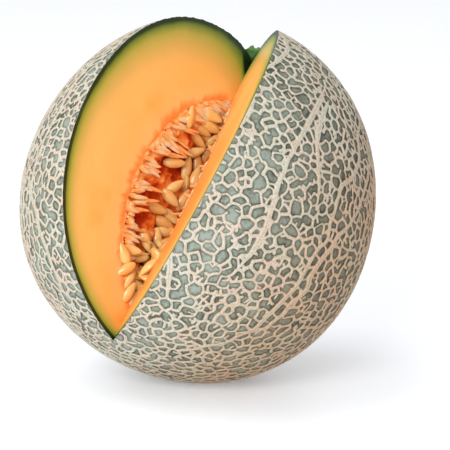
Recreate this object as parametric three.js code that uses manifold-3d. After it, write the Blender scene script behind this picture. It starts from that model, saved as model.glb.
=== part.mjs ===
// A netted cantaloupe melon with one wedge cut out, lying on its side so that the notch shows.
// Millimetres. The part stands on Z = 0, straight under the melon's middle, with the notch
// opening towards -Y and upwards. The melon's own frame has its origin at the melon's middle,
// +Z through the stem end, and the notch on its -Y side.
import * as THREE from "three";
import { ConvexHull } from "three/addons/math/ConvexHull.js";
import { mergeVertices } from "three/addons/utils/BufferGeometryUtils.js";
import Module from "manifold-3d";

const wasm = await Module();
wasm.setup();

const DEGREE = Math.PI / 180;

// Outer form: a ball whose radius changes a little from pole to pole and round the girth.
const MEAN_RADIUS = 78;
const LONGER_POLES = 1.85;
const FULLER_STEM_END = 1.93;
const FULLER_SHOULDERS = 1.09;
const OVAL_GIRTH = 0.98;
const OVAL_TURN = -74 * DEGREE;
const STEM_DIMPLE = { depth: 1.6, radius: 8 };
const BLOSSOM_SCAR = { depth: 1.2, radius: 5.5 };

// How the melon lies: its stem end leans away from upright, and is turned to the right.
const STEM_LEAN = 42.66 * DEGREE;
const STEM_TURN = 26.41 * DEGREE;
const REST_FLAT_DEPTH = 1.5;

// Corky net: ridges between irregular cells of skin.
const NET_PITCH = 12.8;
const NET_RIDGE_WIDTH = 2.6;
const NET_HEIGHT = 1;
const NET_JITTER = 0.36;

// Least share of a cell's reach that stays skin, so that small cells keep a flat middle.
const LEAST_SKIN_SHARE = 0.35;

// The two knife cuts meet in one line, which passes beside the melon's middle.
const KNIFE_POINT = new THREE.Vector3(-8.2, 0.6, 0);
const KNIFE_DIRECTION = new THREE.Vector3(0.065, 0.066, 0.996).normalize();
const LEFT_FACE_ANGLE = -103.8 * DEGREE;
const RIGHT_FACE_ANGLE = -51.2 * DEGREE;
const CUT_REACH = 140;

// Seed cavity: a three-lobed spindle round the knife line, and the seed mass that fills it.
const CAVITY_RADIUS = 28;
const CAVITY_MIDDLE = -6;
const CAVITY_TO_STEM = 60;
const CAVITY_TO_BLOSSOM = 51;
const CAVITY_ROUNDNESS = 0.72;
const CAVITY_LOBES = 3;
const CAVITY_LOBE_SHARE = 0.12;
const FIT_GAP = 0.3;
const SEED_MASS_RECESS = 13;
const SEED_MASS_NOSE_RADIUS = 5;

// Seeds, in rows on both flanks of the seed mass.
const SEED = { length: 10.5, width: 6, thickness: 3, taper: 0.35 };
const SEED_ROW_PITCH = 10.4;
const SEED_COLUMN_PITCH = 8.4;
const SEED_ROW_START = 6.5;
const SEED_ROW_REACH = 9.1;
const SEED_WALL_MARGIN = 6;
const SEED_STANDS_OUT = 0.5;
const SEED_TILT = 12 * DEGREE;
const SEED_SHIFT_ACROSS = 2;
const SEED_SHIFT_ALONG = 5;

// Fibres that hang from the cavity's edge into it.
const FIBRE_PITCH = 6.6;
const FIBRE_LENGTH = 12.5;
const FIBRE_RADIUS = 2.1;
const FIBRE_LENGTH_SPREAD = 0.2;
const FIBRE_DIP = 25 * DEGREE;
const FIBRE_SWAY = 0.6;

// Stem stub in its dimple: its outline by radius and height, and one torn horn on its neck.
const STUB_FOOT_RADIUS = 7;
const STUB_HEIGHT = 7.6;
const STUB_OUTLINE = [
  [0, 0],
  [STUB_FOOT_RADIUS, 0],
  [6.8, 1.6],
  [5.2, 2.8],
  [4, 4.6],
  [3.1, 6.6],
  [2.2, STUB_HEIGHT],
  [0, 7],
];
const STUB_HORN = { length: 8, radius: 1.9, lean: 75 * DEGREE, out: 3.6, up: 5.6 };
const STUB_SIDES = 12;

const LEFT_FACE = new THREE.Vector3(Math.cos(LEFT_FACE_ANGLE), Math.sin(LEFT_FACE_ANGLE), 0);
const RIGHT_FACE = new THREE.Vector3(Math.cos(RIGHT_FACE_ANGLE), Math.sin(RIGHT_FACE_ANGLE), 0);
const NOTCH_MIDDLE = LEFT_FACE.clone().add(RIGHT_FACE).normalize();
const STEM_AXIS = new THREE.Vector3(0, 0, 1);

// A repeatable draw between 0 and 1.
function makeDraw(seed) {
  let state = seed;
  return () => {
    state = (state * 1664525 + 1013904223) % 4294967296;
    return state / 4294967296;
  };
}

function solidFromArrays(positions, triangles) {
  return new wasm.Manifold(
    new wasm.Mesh({
      numProp: 3,
      vertProperties: new Float32Array(positions),
      triVerts: new Uint32Array(triangles),
    }),
  );
}

// A closed three.js geometry as a solid; triangles that shrink to a line at a pole are dropped.
function solidOf(geometry, matrix = new THREE.Matrix4()) {
  const bare = geometry.clone().applyMatrix4(matrix);
  bare.deleteAttribute("normal");
  bare.deleteAttribute("uv");
  const merged = mergeVertices(bare, 1e-4);
  const index = merged.index.array;
  const triangles = [];
  for (let i = 0; i < index.length; i += 3) {
    const [a, b, c] = index.slice(i, i + 3);
    if (a !== b && b !== c && c !== a) triangles.push(a, b, c);
  }
  return solidFromArrays(merged.attributes.position.array, triangles);
}

function largestBody(solid) {
  const bodies = solid.decompose();
  return bodies.reduce((best, body) => (body.volume() > best.volume() ? body : best));
}

function meshOf(name, solid, material) {
  const { vertProperties, triVerts } = solid.getMesh();
  const geometry = new THREE.BufferGeometry()
    .setAttribute("position", new THREE.BufferAttribute(vertProperties, 3))
    .setIndex(new THREE.BufferAttribute(triVerts, 1));
  geometry.computeVertexNormals();
  const mesh = new THREE.Mesh(geometry, material);
  mesh.name = name;
  return mesh;
}

function dent(direction, centre, { depth, radius }) {
  const away = (direction.angleTo(centre) * MEAN_RADIUS) / radius;
  return depth * Math.exp(-(away ** 2));
}

// Radius of the net's crests along a direction from the melon's middle.
function outerRadius(direction) {
  const z = direction.z;
  const turn = Math.atan2(direction.y, direction.x) - OVAL_TURN;
  return (
    MEAN_RADIUS +
    (LONGER_POLES * (3 * z ** 2 - 1)) / 2 +
    (FULLER_STEM_END * (5 * z ** 3 - 3 * z)) / 2 -
    (FULLER_SHOULDERS * (35 * z ** 4 - 30 * z ** 2 + 3)) / 8 +
    OVAL_GIRTH * (1 - z ** 2) * Math.cos(2 * turn) -
    dent(direction, STEM_POINT, STEM_DIMPLE) -
    dent(direction, BLOSSOM_POINT, BLOSSOM_SCAR)
  );
}

// Where the knife line leaves the melon at the stem end, and the pole opposite the stem.
const STEM_POINT = KNIFE_POINT.clone().addScaledVector(KNIFE_DIRECTION, MEAN_RADIUS).normalize();
const BLOSSOM_POINT = STEM_AXIS.clone().negate();

// Points spread over the unit sphere by the golden angle, each moved a little at random.
function spreadPoints(count) {
  const draw = makeDraw(11);
  const spacing = Math.sqrt((4 * Math.PI) / count);
  const goldenAngle = Math.PI * (3 - Math.sqrt(5));
  return Array.from({ length: count }, (_, i) => {
    const height = 1 - (2 * i + 1) / count;
    const point = new THREE.Vector3().setFromCylindricalCoords(
      Math.sqrt(1 - height ** 2),
      i * goldenAngle,
      height,
    );
    const shift = new THREE.Vector3(draw() - 0.5, draw() - 0.5, draw() - 0.5);
    return point.addScaledVector(shift, 2 * NET_JITTER * spacing).normalize();
  });
}

// Each point's cell: the corners where it meets its neighbours, in turn round the point.
function cellsAround(points) {
  const corners = new Map(points.map((point) => [point, []]));
  for (const face of new ConvexHull().setFromPoints(points).faces) {
    let edge = face.edge;
    do {
      corners.get(edge.head().point).push(face.normal);
      edge = edge.next;
    } while (edge !== face.edge);
  }
  for (const [point, list] of corners) {
    const across = new THREE.Vector3().crossVectors(point, list[0]).normalize();
    const along = new THREE.Vector3().crossVectors(across, point);
    list.sort(
      (a, b) =>
        Math.atan2(a.dot(across), a.dot(along)) - Math.atan2(b.dot(across), b.dot(along)),
    );
  }
  return corners;
}

function middleOf(directions) {
  return directions.reduce((sum, d) => sum.add(d), new THREE.Vector3()).normalize();
}

// The whole uncut melon, with a ridge along every cell border.
function nettedBall() {
  const cellArea = (Math.sqrt(3) / 2) * NET_PITCH ** 2;
  const count = Math.round((4 * Math.PI * MEAN_RADIUS ** 2) / cellArea);
  const first = cellsAround(spreadPoints(count));
  const cells = cellsAround([...first.values()].map(middleOf));
  const positions = [];
  const triangles = [];
  const crests = new Map();
  const addVertex = (direction, radius) => {
    positions.push(...direction.clone().multiplyScalar(radius).toArray());
    return positions.length / 3 - 1;
  };
  for (const [point, corners] of cells) {
    const reach = corners.reduce((sum, c) => sum + c.angleTo(point), 0) / corners.length;
    const apothem = reach * MEAN_RADIUS * Math.cos(Math.PI / corners.length);
    const skinShare = Math.max(LEAST_SKIN_SHARE, 1 - NET_RIDGE_WIDTH / 2 / apothem);
    const crest = corners.map((corner) => {
      if (!crests.has(corner)) crests.set(corner, addVertex(corner, outerRadius(corner)));
      return crests.get(corner);
    });
    const foot = corners.map((corner) => {
      const direction = point.clone().lerp(corner, skinShare).normalize();
      return addVertex(direction, outerRadius(direction) - NET_HEIGHT);
    });
    corners.forEach((_, i) => {
      const next = (i + 1) % corners.length;
      triangles.push(crest[i], crest[next], foot[next], crest[i], foot[next], foot[i]);
      if (i > 0 && next > 0) triangles.push(foot[0], foot[i], foot[next]);
    });
  }
  return solidFromArrays(positions, triangles);
}

// The frame of the knife line, in the melon's frame.
const KNIFE_FRAME = new THREE.Matrix4().compose(
  KNIFE_POINT,
  new THREE.Quaternion().setFromUnitVectors(STEM_AXIS, KNIFE_DIRECTION),
  new THREE.Vector3(1, 1, 1),
);

// The missing wedge, its edge moved back by a recess and rounded by a nose radius.
function wedge(recess = 0, noseRadius = 0) {
  const edge = NOTCH_MIDDLE.clone().multiplyScalar(-recess);
  const outline = new THREE.Shape();
  const half = (RIGHT_FACE_ANGLE - LEFT_FACE_ANGLE) / 2;
  const middleAngle = LEFT_FACE_ANGLE + half;
  if (noseRadius > 0) {
    const centre = edge.clone().addScaledVector(NOTCH_MIDDLE, noseRadius / Math.sin(half));
    const start = middleAngle + Math.PI - (Math.PI / 2 - half);
    const end = middleAngle + Math.PI + (Math.PI / 2 - half);
    outline.absarc(centre.x, centre.y, noseRadius, start, end, false);
  } else {
    outline.moveTo(edge.x, edge.y);
  }
  const left = edge.clone().addScaledVector(LEFT_FACE, CUT_REACH);
  const right = edge.clone().addScaledVector(RIGHT_FACE, CUT_REACH);
  outline.lineTo(left.x, left.y);
  outline.lineTo(right.x, right.y);
  outline.closePath();
  const geometry = new THREE.ExtrudeGeometry(outline, {
    depth: 2 * CUT_REACH,
    bevelEnabled: false,
    curveSegments: 5,
  });
  geometry.translate(0, 0, -CUT_REACH);
  return solidOf(geometry, KNIFE_FRAME);
}

// Half width of the seed cavity at a height along the knife line.
function cavityRadius(height, turn) {
  const reach = height > CAVITY_MIDDLE ? CAVITY_TO_STEM : CAVITY_TO_BLOSSOM;
  const share = Math.min(1, Math.abs(height - CAVITY_MIDDLE) / reach);
  const lobes = 1 + CAVITY_LOBE_SHARE * Math.cos(CAVITY_LOBES * (turn - LEFT_FACE_ANGLE));
  return CAVITY_RADIUS * lobes * (1 - share ** 2) ** CAVITY_ROUNDNESS;
}

// The cavity as a closed spindle, made smaller all over by a gap.
function cavitySpindle(gap = 0) {
  const geometry = new THREE.SphereGeometry(1, 20, 14).rotateX(Math.PI / 2);
  const place = geometry.attributes.position;
  for (let i = 0; i < place.count; i++) {
    const height = place.getZ(i);
    const turn = Math.atan2(place.getY(i), place.getX(i));
    const reach = (height > 0 ? CAVITY_TO_STEM : CAVITY_TO_BLOSSOM) - 3 * gap;
    const atPole = Math.abs(height) > 1 - 1e-9;
    const radius = atPole ? 0 : cavityRadius(CAVITY_MIDDLE + height * reach, turn) - gap;
    place.setXYZ(
      i,
      Math.max(0, radius) * Math.cos(turn),
      Math.max(0, radius) * Math.sin(turn),
      CAVITY_MIDDLE + height * reach,
    );
  }
  return solidOf(geometry, KNIFE_FRAME);
}

// One flat seed, round at one end and narrower at the other, along X and lying on Z.
function seedGeometry() {
  const geometry = new THREE.SphereGeometry(0.5, 6, 4).rotateZ(Math.PI / 2);
  const place = geometry.attributes.position;
  for (let i = 0; i < place.count; i++) {
    const along = place.getX(i);
    const narrow = 1 - SEED.taper * (along + 0.5);
    place.setXYZ(
      i,
      along * SEED.length,
      place.getY(i) * SEED.width * narrow,
      place.getZ(i) * SEED.thickness,
    );
  }
  return geometry;
}

// A frame at a point of the knife frame whose Z is the given normal, turned about it.
function surfaceFrame(position, normal, turn, tilt) {
  const onto = new THREE.Quaternion().setFromUnitVectors(STEM_AXIS, normal);
  const spin = new THREE.Quaternion().setFromEuler(new THREE.Euler(tilt, tilt, turn));
  const size = new THREE.Vector3(1, 1, 1);
  return KNIFE_FRAME.clone().multiply(
    new THREE.Matrix4().compose(position, onto.multiply(spin), size),
  );
}

// Seeds in rows along the knife line, on the flank below one cut face.
function seedsOnFlank(face, normal, draw) {
  const edge = NOTCH_MIDDLE.clone().multiplyScalar(-SEED_MASS_RECESS);
  const turn = Math.atan2(face.y, face.x);
  const bottom = CAVITY_MIDDLE - CAVITY_TO_BLOSSOM + SEED_WALL_MARGIN;
  const top = CAVITY_MIDDLE + CAVITY_TO_STEM - SEED_WALL_MARGIN;
  const seeds = [];
  for (let height = bottom; height < top; height += SEED_ROW_PITCH) {
    const room = cavityRadius(height, turn) - SEED_WALL_MARGIN;
    const start = SEED_ROW_START + (SEED_COLUMN_PITCH / 2) * draw();
    for (let across = start; across < room + SEED_ROW_REACH; across += SEED_COLUMN_PITCH) {
      const position = edge
        .clone()
        .addScaledVector(face, across + SEED_SHIFT_ACROSS * (draw() - 0.5))
        .addScaledVector(normal, SEED_STANDS_OUT)
        .add(new THREE.Vector3(0, 0, height + SEED_SHIFT_ALONG * (draw() - 0.5)));
      if (Math.hypot(position.x, position.y) > room) continue;
      const tilt = SEED_TILT * (2 * draw() - 1);
      const frame = surfaceFrame(position, normal, Math.PI * draw(), tilt);
      seeds.push(solidOf(seedGeometry(), frame));
    }
  }
  return seeds;
}

// Fibres along the cavity's edge at one cut face, dipping into the cavity.
function fibresAlongEdge(face, normal, draw) {
  const turn = Math.atan2(face.y, face.x);
  const fibres = [];
  const bottom = CAVITY_MIDDLE - CAVITY_TO_BLOSSOM + FIBRE_RADIUS * 2;
  const top = CAVITY_MIDDLE + CAVITY_TO_STEM - FIBRE_RADIUS * 2;
  for (let height = bottom; height < top; height += FIBRE_PITCH) {
    const wanted = FIBRE_LENGTH * (1 + FIBRE_LENGTH_SPREAD * (2 * draw() - 1));
    const length = Math.min(wanted, cavityRadius(height, turn));
    const inward = face
      .clone()
      .multiplyScalar(-Math.cos(FIBRE_DIP))
      .addScaledVector(normal, -Math.sin(FIBRE_DIP))
      .add(new THREE.Vector3(0, 0, FIBRE_SWAY * (draw() - 0.5)))
      .normalize();
    const root = face
      .clone()
      .multiplyScalar(cavityRadius(height, turn))
      .addScaledVector(normal, -FIBRE_RADIUS)
      .add(new THREE.Vector3(0, 0, height));
    const middle = root.addScaledVector(inward, length / 2 - FIBRE_RADIUS);
    const cone = new THREE.ConeGeometry(FIBRE_RADIUS, length + FIBRE_RADIUS, 5);
    cone.rotateX(Math.PI / 2);
    fibres.push(solidOf(cone, surfaceFrame(middle, inward, 0, 0)));
  }
  return fibres;
}

// The seed mass: pulp set back from the cuts, with the seeds and fibres that show.
function seedMass() {
  const draw = makeDraw(29);
  const intoNotch = (face, side) => new THREE.Vector3(-face.y, face.x, 0).multiplyScalar(side);
  const leftNormal = intoNotch(LEFT_FACE, 1);
  const rightNormal = intoNotch(RIGHT_FACE, -1);
  const pulp = cavitySpindle(FIT_GAP).subtract(wedge(SEED_MASS_RECESS, SEED_MASS_NOSE_RADIUS));
  const pieces = [
    pulp,
    ...seedsOnFlank(LEFT_FACE, leftNormal, draw),
    ...seedsOnFlank(RIGHT_FACE, rightNormal, draw),
    ...fibresAlongEdge(LEFT_FACE, leftNormal, draw),
    ...fibresAlongEdge(RIGHT_FACE, rightNormal, draw),
  ];
  const joined = pieces.reduce((sum, piece) => sum.add(piece));
  return largestBody(joined.intersect(cavitySpindle(FIT_GAP)).subtract(wedge()));
}

// The frame of the stem stub: on the dimple's floor, standing out of the melon.
function stemFrame() {
  const floor = outerRadius(STEM_POINT) - NET_HEIGHT;
  return new THREE.Matrix4().compose(
    STEM_POINT.clone().multiplyScalar(floor),
    new THREE.Quaternion().setFromUnitVectors(STEM_AXIS, STEM_POINT),
    new THREE.Vector3(1, 1, 1),
  );
}

// A level seat for the stub in the dimple's floor.
function stemSeat() {
  const radius = STUB_FOOT_RADIUS + FIT_GAP;
  const seat = new THREE.CylinderGeometry(radius, radius, STUB_HEIGHT, 2 * STUB_SIDES);
  seat.rotateX(Math.PI / 2).translate(0, 0, STUB_HEIGHT / 2 - FIT_GAP);
  return solidOf(seat, stemFrame());
}

// The dry stub of the stem: a spread foot that narrows to a torn top, with one horn.
function stemStub() {
  const outline = STUB_OUTLINE.map(([radius, height]) => new THREE.Vector2(radius, height));
  const stub = new THREE.LatheGeometry(outline, STUB_SIDES).rotateX(Math.PI / 2);
  const horn = new THREE.ConeGeometry(STUB_HORN.radius, STUB_HORN.length, STUB_SIDES / 2);
  horn.rotateZ(-STUB_HORN.lean).rotateX(Math.PI / 2);
  horn.translate(STUB_HORN.out, 0, STUB_HORN.up);
  return largestBody(
    solidOf(stub, stemFrame()).add(solidOf(horn, stemFrame())).subtract(wedge()),
  );
}

// The melon lies in the part's frame: leaned back, turned, and let down onto its rest flat.
const melon = new THREE.Group();
melon.rotation.set(-STEM_LEAN, 0, -STEM_TURN, "ZYX");
melon.updateMatrix();
const down = new THREE.Vector3(0, 0, -1).transformDirection(melon.matrix.clone().invert());
melon.position.z = outerRadius(down) - REST_FLAT_DEPTH;
melon.updateMatrix();

// Everything below the floor, in the melon's frame.
function belowFloor() {
  const block = new THREE.BoxGeometry(2 * CUT_REACH, 2 * CUT_REACH, CUT_REACH);
  block.translate(0, 0, -CUT_REACH / 2);
  return solidOf(block, melon.matrix.clone().invert());
}

const rindAndFlesh = new THREE.MeshStandardMaterial({ color: "#b9b49c", roughness: 0.8 });
const seedsAndPulp = new THREE.MeshStandardMaterial({ color: "#e39a4a", roughness: 0.3 });
const driedStem = new THREE.MeshStandardMaterial({ color: "#5a7336", roughness: 0.7 });

const body = nettedBall()
  .subtract(wedge())
  .subtract(cavitySpindle())
  .subtract(stemSeat())
  .subtract(belowFloor());

melon.add(
  meshOf("melon_body", largestBody(body), rindAndFlesh),
  meshOf("seed_mass", seedMass(), seedsAndPulp),
  meshOf("stem_stub", stemStub(), driedStem),
);

const part = new THREE.Group();
part.add(melon);

export default part;
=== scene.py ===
"""Looks of a netted cantaloupe with one wedge cut out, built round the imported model.

Lengths in the dataclasses are millimetres, angles are degrees, and meshes are metres.
"""

import logging
import math
import random
from collections.abc import Callable
from dataclasses import dataclass, field
from enum import Enum
from functools import partial
from typing import Any

import bmesh
import bpy
import numpy as np
from mathutils import Matrix, Vector, noise
from mathutils.kdtree import KDTree

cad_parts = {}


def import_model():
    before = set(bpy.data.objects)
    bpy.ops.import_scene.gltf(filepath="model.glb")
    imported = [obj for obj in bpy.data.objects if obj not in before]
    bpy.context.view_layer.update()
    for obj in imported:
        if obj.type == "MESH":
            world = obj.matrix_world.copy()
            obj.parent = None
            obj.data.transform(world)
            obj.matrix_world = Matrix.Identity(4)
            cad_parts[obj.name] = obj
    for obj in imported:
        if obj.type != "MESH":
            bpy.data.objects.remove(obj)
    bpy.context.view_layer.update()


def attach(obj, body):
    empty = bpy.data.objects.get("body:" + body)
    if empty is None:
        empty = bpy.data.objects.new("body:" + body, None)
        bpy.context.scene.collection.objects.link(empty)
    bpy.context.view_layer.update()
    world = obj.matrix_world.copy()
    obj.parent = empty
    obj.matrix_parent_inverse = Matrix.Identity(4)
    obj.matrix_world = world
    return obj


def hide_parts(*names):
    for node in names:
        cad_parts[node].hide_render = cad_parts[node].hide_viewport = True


LOG = logging.getLogger("cantaloupe")
MM = 0.001
BODY = "root"
SEAM = 0.004 * MM
TINY = 1e-6
ON_SIDE = 1e-4


class Slot(Enum):
    """Material slots of the record."""

    RIND_AND_FLESH = "rind_and_flesh"
    SEEDS_AND_PULP = "seeds_and_pulp"
    STEM = "stem"


class Face(Enum):
    """The two cut faces, by their turn round the knife line in degrees."""

    LEFT = -103.8
    RIGHT = -51.2


def cut_turns() -> tuple[float, float]:
    """Returns the turns of the right cut and, round the back, of the left one, in radians."""
    return math.radians(Face.RIGHT.value), math.radians(Face.LEFT.value) + 2 * math.pi


def linear(hex_colour: str) -> tuple[float, float, float, float]:
    """Turns an sRGB hex colour into the linear values that the shaders take.

    Args:
        hex_colour: Six hex digits.

    Returns:
        Red, green, blue and alpha, each from 0 to 1.
    """
    channels = [int(hex_colour[i : i + 2], 16) / 255 for i in (0, 2, 4)]
    lit = [c / 12.92 if c <= 0.04045 else ((c + 0.055) / 1.055) ** 2.4 for c in channels]
    return (*lit, 1.0)


def add_node(
    material: bpy.types.Material,
    kind: str,
    inputs: dict | None = None,
    output: int | str = 0,
    **settings: Any,
) -> bpy.types.NodeSocket | None:
    """Adds one shader node with its settings and links.

    Args:
        material: Material whose tree takes the node.
        kind: Node type after its prefix, such as Mix.
        inputs: Socket values by name or number. An output socket is linked, the rest are set.
        output: Name or number of the wanted output.
        **settings: Attributes of the node. A list under ramp sets a colour ramp's stops.

    Returns:
        The wanted output socket, or None where the node has none.
    """
    tree = material.node_tree
    node = tree.nodes.new("ShaderNode" + kind)
    for name, value in settings.items():
        if name == "ramp":
            stops = node.color_ramp.elements
            while len(stops) < len(value):
                stops.new(1.0)
            for stop, (place, colour) in zip(stops, value):
                stop.position = place
                stop.color = linear(colour) if isinstance(colour, str) else (*[colour] * 3, 1.0)
        else:
            setattr(node, name, value)
    for name, value in (inputs or {}).items():
        socket = node.inputs[name]
        if isinstance(value, bpy.types.NodeSocket):
            tree.links.new(value, socket)
        else:
            socket.default_value = value
    return node.outputs[output] if node.outputs else None


def span(ends: tuple[float, float], side: str = "From") -> dict[str, float]:
    """Returns the two inputs that set one side of a Map Range node."""
    return {f"{side} Min": ends[0], f"{side} Max": ends[1]}


def new_material(name: str) -> bpy.types.Material:
    """Makes an empty node material.

    Args:
        name: Name of the finish.

    Returns:
        The material, without nodes.
    """
    material = bpy.data.materials.new(name)
    material.use_nodes = True
    material.node_tree.nodes.clear()
    return material


def seeded_noise(points: np.ndarray, period: float, seed: float, octaves: int = 3) -> np.ndarray:
    """Smooth noise at points.

    Args:
        points: Places in millimetres, one a row.
        period: Size of the largest lumps in millimetres.
        seed: Shift that gives another pattern.
        octaves: Number of finer layers.

    Returns:
        One value a point, from about -1 to 1.
    """
    shift = Vector((seed, -seed, 0.5 * seed))
    return np.array(
        [noise.fractal(Vector(p) / period + shift, 0.9, 2.1, octaves) for p in points.tolist()]
    )


def add_grid(bm: bmesh.types.BMesh, columns: int, rows: int) -> tuple[list, np.ndarray]:
    """Adds a flat grid.

    Args:
        bm: Mesh that takes it.
        columns: Number of steps across.
        rows: Number of steps along.

    Returns:
        Its vertices, and their places from -1 to 1, one a row.
    """
    verts = bmesh.ops.create_grid(bm, x_segments=columns, y_segments=rows, size=1.0)["verts"]
    return verts, np.array([vert.co for vert in verts])


def shape_grid(
    bm: bmesh.types.BMesh, verts: list, places: np.ndarray, layers: dict[str, np.ndarray]
) -> None:
    """Moves vertices to their places and fills their layers.

    Args:
        bm: Mesh that has the vertices and the layers.
        verts: The vertices.
        places: Their places, one a row.
        layers: Values for each layer by name: one a vertex, or three for a vector layer.
    """
    for vert, place in zip(verts, places.tolist()):
        vert.co = place
    for name, values in layers.items():
        kinds = bm.verts.layers.float if values.ndim == 1 else bm.verts.layers.float_vector
        layer = kinds[name]
        for vert, value in zip(verts, values.tolist()):
            vert[layer] = value


def grid_sides(verts: list, flat: np.ndarray) -> list[list[bmesh.types.BMEdge]]:
    """Finds the edges along a grid's first and last column.

    Args:
        verts: The grid's vertices.
        flat: Their places from -1 to 1, one a row.

    Returns:
        The edges of the first column, and those of the last.
    """
    sides = []
    for end in (-1, 1):
        column = {vert for vert, away in zip(verts, np.abs(flat[:, 0] - end)) if away < ON_SIDE}
        sides.append(list({e for v in column for e in v.link_edges if e.other_vert(v) in column}))
    return sides


def weld(bm: bmesh.types.BMesh) -> None:
    """Merges the seams and poles of a mesh and turns its faces outwards."""
    bmesh.ops.remove_doubles(bm, verts=bm.verts, dist=SEAM)
    bmesh.ops.recalc_face_normals(bm, faces=bm.faces)


def finish_mesh(
    name: str,
    bm: bmesh.types.BMesh,
    materials: list[bpy.types.Material],
    replaced: str,
) -> None:
    """Turns a bmesh into a piece that rides on the body and stands for a CAD node.

    Args:
        name: Name of the piece.
        bm: Its mesh in metres. It is freed.
        materials: Its materials. Faces with the first one are smooth.
        replaced: The CAD node that it stands for.
    """
    for face in bm.faces:
        face.smooth = face.material_index == 0
    mesh = bpy.data.meshes.new(name)
    bm.to_mesh(mesh)
    bm.free()
    for material in materials:
        mesh.materials.append(material)
    piece = bpy.data.objects.new(name, mesh)
    bpy.context.scene.collection.objects.link(piece)
    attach(piece, BODY)
    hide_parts(replaced)
    LOG.info("%s: %d faces", name, len(mesh.polygons))


@dataclass(frozen=True)
class MelonForm:
    """The whole melon's form, how it lies, and the line in which the two cuts meet."""

    mean_radius: float = 78.0
    longer_poles: float = 1.85
    fuller_stem_end: float = 1.93
    fuller_shoulders: float = 1.09
    oval_girth: float = 0.98
    oval_turn: float = -74.0
    dimple_depth: float = 1.6
    dimple_radius: float = 8.0
    scar_depth: float = 1.2
    scar_radius: float = 5.5
    stem_lean: float = 42.66
    stem_turn: float = 26.41
    rest_flat_depth: float = 1.5
    knife_point: tuple[float, float, float] = (-8.2, 0.6, 0.0)
    knife_direction: tuple[float, float, float] = (0.065, 0.066, 0.996)
    hit_rounds: int = 5

    def knife_matrix(self) -> Matrix:
        """Returns the placement of the knife line's frame in the melon's frame."""
        onto = Vector((0, 0, 1)).rotation_difference(Vector(self.knife_direction).normalized())
        return Matrix.Translation(self.knife_point) @ onto.to_matrix().to_4x4()

    def stem_point(self) -> np.ndarray:
        """Returns the direction from the melon's middle to where the stem grows."""
        out = Vector(self.knife_direction).normalized() * self.mean_radius
        return np.array((Vector(self.knife_point) + out).normalized())

    def dent(self, d: np.ndarray, centre: np.ndarray, depth: float, radius: float) -> np.ndarray:
        """Depth of a round dent.

        Args:
            d: Unit directions from the melon's middle, one a row.
            centre: Direction of the dent's middle.
            depth: Depth in its middle.
            radius: Radius at which a third of the depth is left.

        Returns:
            Depth of the dent along each direction.
        """
        away = np.arccos(np.clip(d @ centre, -1, 1)) * self.mean_radius / radius
        return depth * np.exp(-(away**2))

    def outer_radius(self, d: np.ndarray) -> np.ndarray:
        """Radius of the net's crests.

        Args:
            d: Unit directions from the melon's middle, one a row.

        Returns:
            One radius a direction, in millimetres.
        """
        z = d[:, 2]
        turn = np.arctan2(d[:, 1], d[:, 0]) - math.radians(self.oval_turn)
        # Legendre polynomials of the height give a ball its longer poles and fuller stem end.
        return (
            self.mean_radius
            + self.longer_poles * (3 * z**2 - 1) / 2
            + self.fuller_stem_end * (5 * z**3 - 3 * z) / 2
            - self.fuller_shoulders * (35 * z**4 - 30 * z**2 + 3) / 8
            + self.oval_girth * (1 - z**2) * np.cos(2 * turn)
            - self.dent(d, self.stem_point(), self.dimple_depth, self.dimple_radius)
            - self.dent(d, np.array((0.0, 0.0, -1.0)), self.scar_depth, self.scar_radius)
        )

    def world_matrix(self) -> Matrix:
        """Lays the melon on the floor.

        Returns:
            The placement of the melon's frame in the world, in millimetres.
        """
        turned = Matrix.Rotation(math.radians(-self.stem_turn), 4, "Z")
        leaned = turned @ Matrix.Rotation(math.radians(-self.stem_lean), 4, "X")
        down = np.array([leaned.inverted().to_3x3() @ Vector((0, 0, -1))])
        rise = float(self.outer_radius(down)[0]) - self.rest_flat_depth
        return Matrix.Translation((0, 0, rise)) @ leaned

    def skin_hits(self, turn: np.ndarray, lean: np.ndarray) -> tuple[np.ndarray, np.ndarray]:
        """Follows rays from the knife line's middle out to the crests.

        Args:
            turn: Turn of each ray round the knife line, in radians.
            lean: Angle of each ray from the knife line's stem end, in radians.

        Returns:
            The ray's length and its unit direction in the melon's frame, one a row.
        """
        axes = np.array(self.knife_matrix().to_3x3())
        across = np.sin(lean)
        rays = np.stack([across * np.cos(turn), across * np.sin(turn), np.cos(lean)], axis=1)
        rays = rays @ axes.T
        start = np.array(self.knife_point)
        radius = np.full(len(rays), self.mean_radius)
        for _ in range(self.hit_rounds):
            along = rays @ start
            reach = -along + np.sqrt(along**2 - start @ start + radius**2)
            hits = start + reach[:, None] * rays
            radius = self.outer_radius(hits / np.linalg.norm(hits, axis=1)[:, None])
        return reach, rays

    def to_world(self, points: np.ndarray) -> np.ndarray:
        """Moves points from the melon's frame to where the melon lies, still in millimetres."""
        placement = np.array(self.world_matrix())
        return points @ placement[:3, :3].T + placement[:3, 3]

    def knife_to_world(self, points: np.ndarray) -> np.ndarray:
        """Moves points from the knife line's frame to where the melon lies."""
        placement = np.array(self.knife_matrix())
        return self.to_world(points @ placement[:3, :3].T + placement[:3, 3])

    def knife_axes(self) -> Matrix:
        """Returns how the knife line's frame is turned in the world."""
        return self.world_matrix().to_3x3() @ self.knife_matrix().to_3x3()


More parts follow.
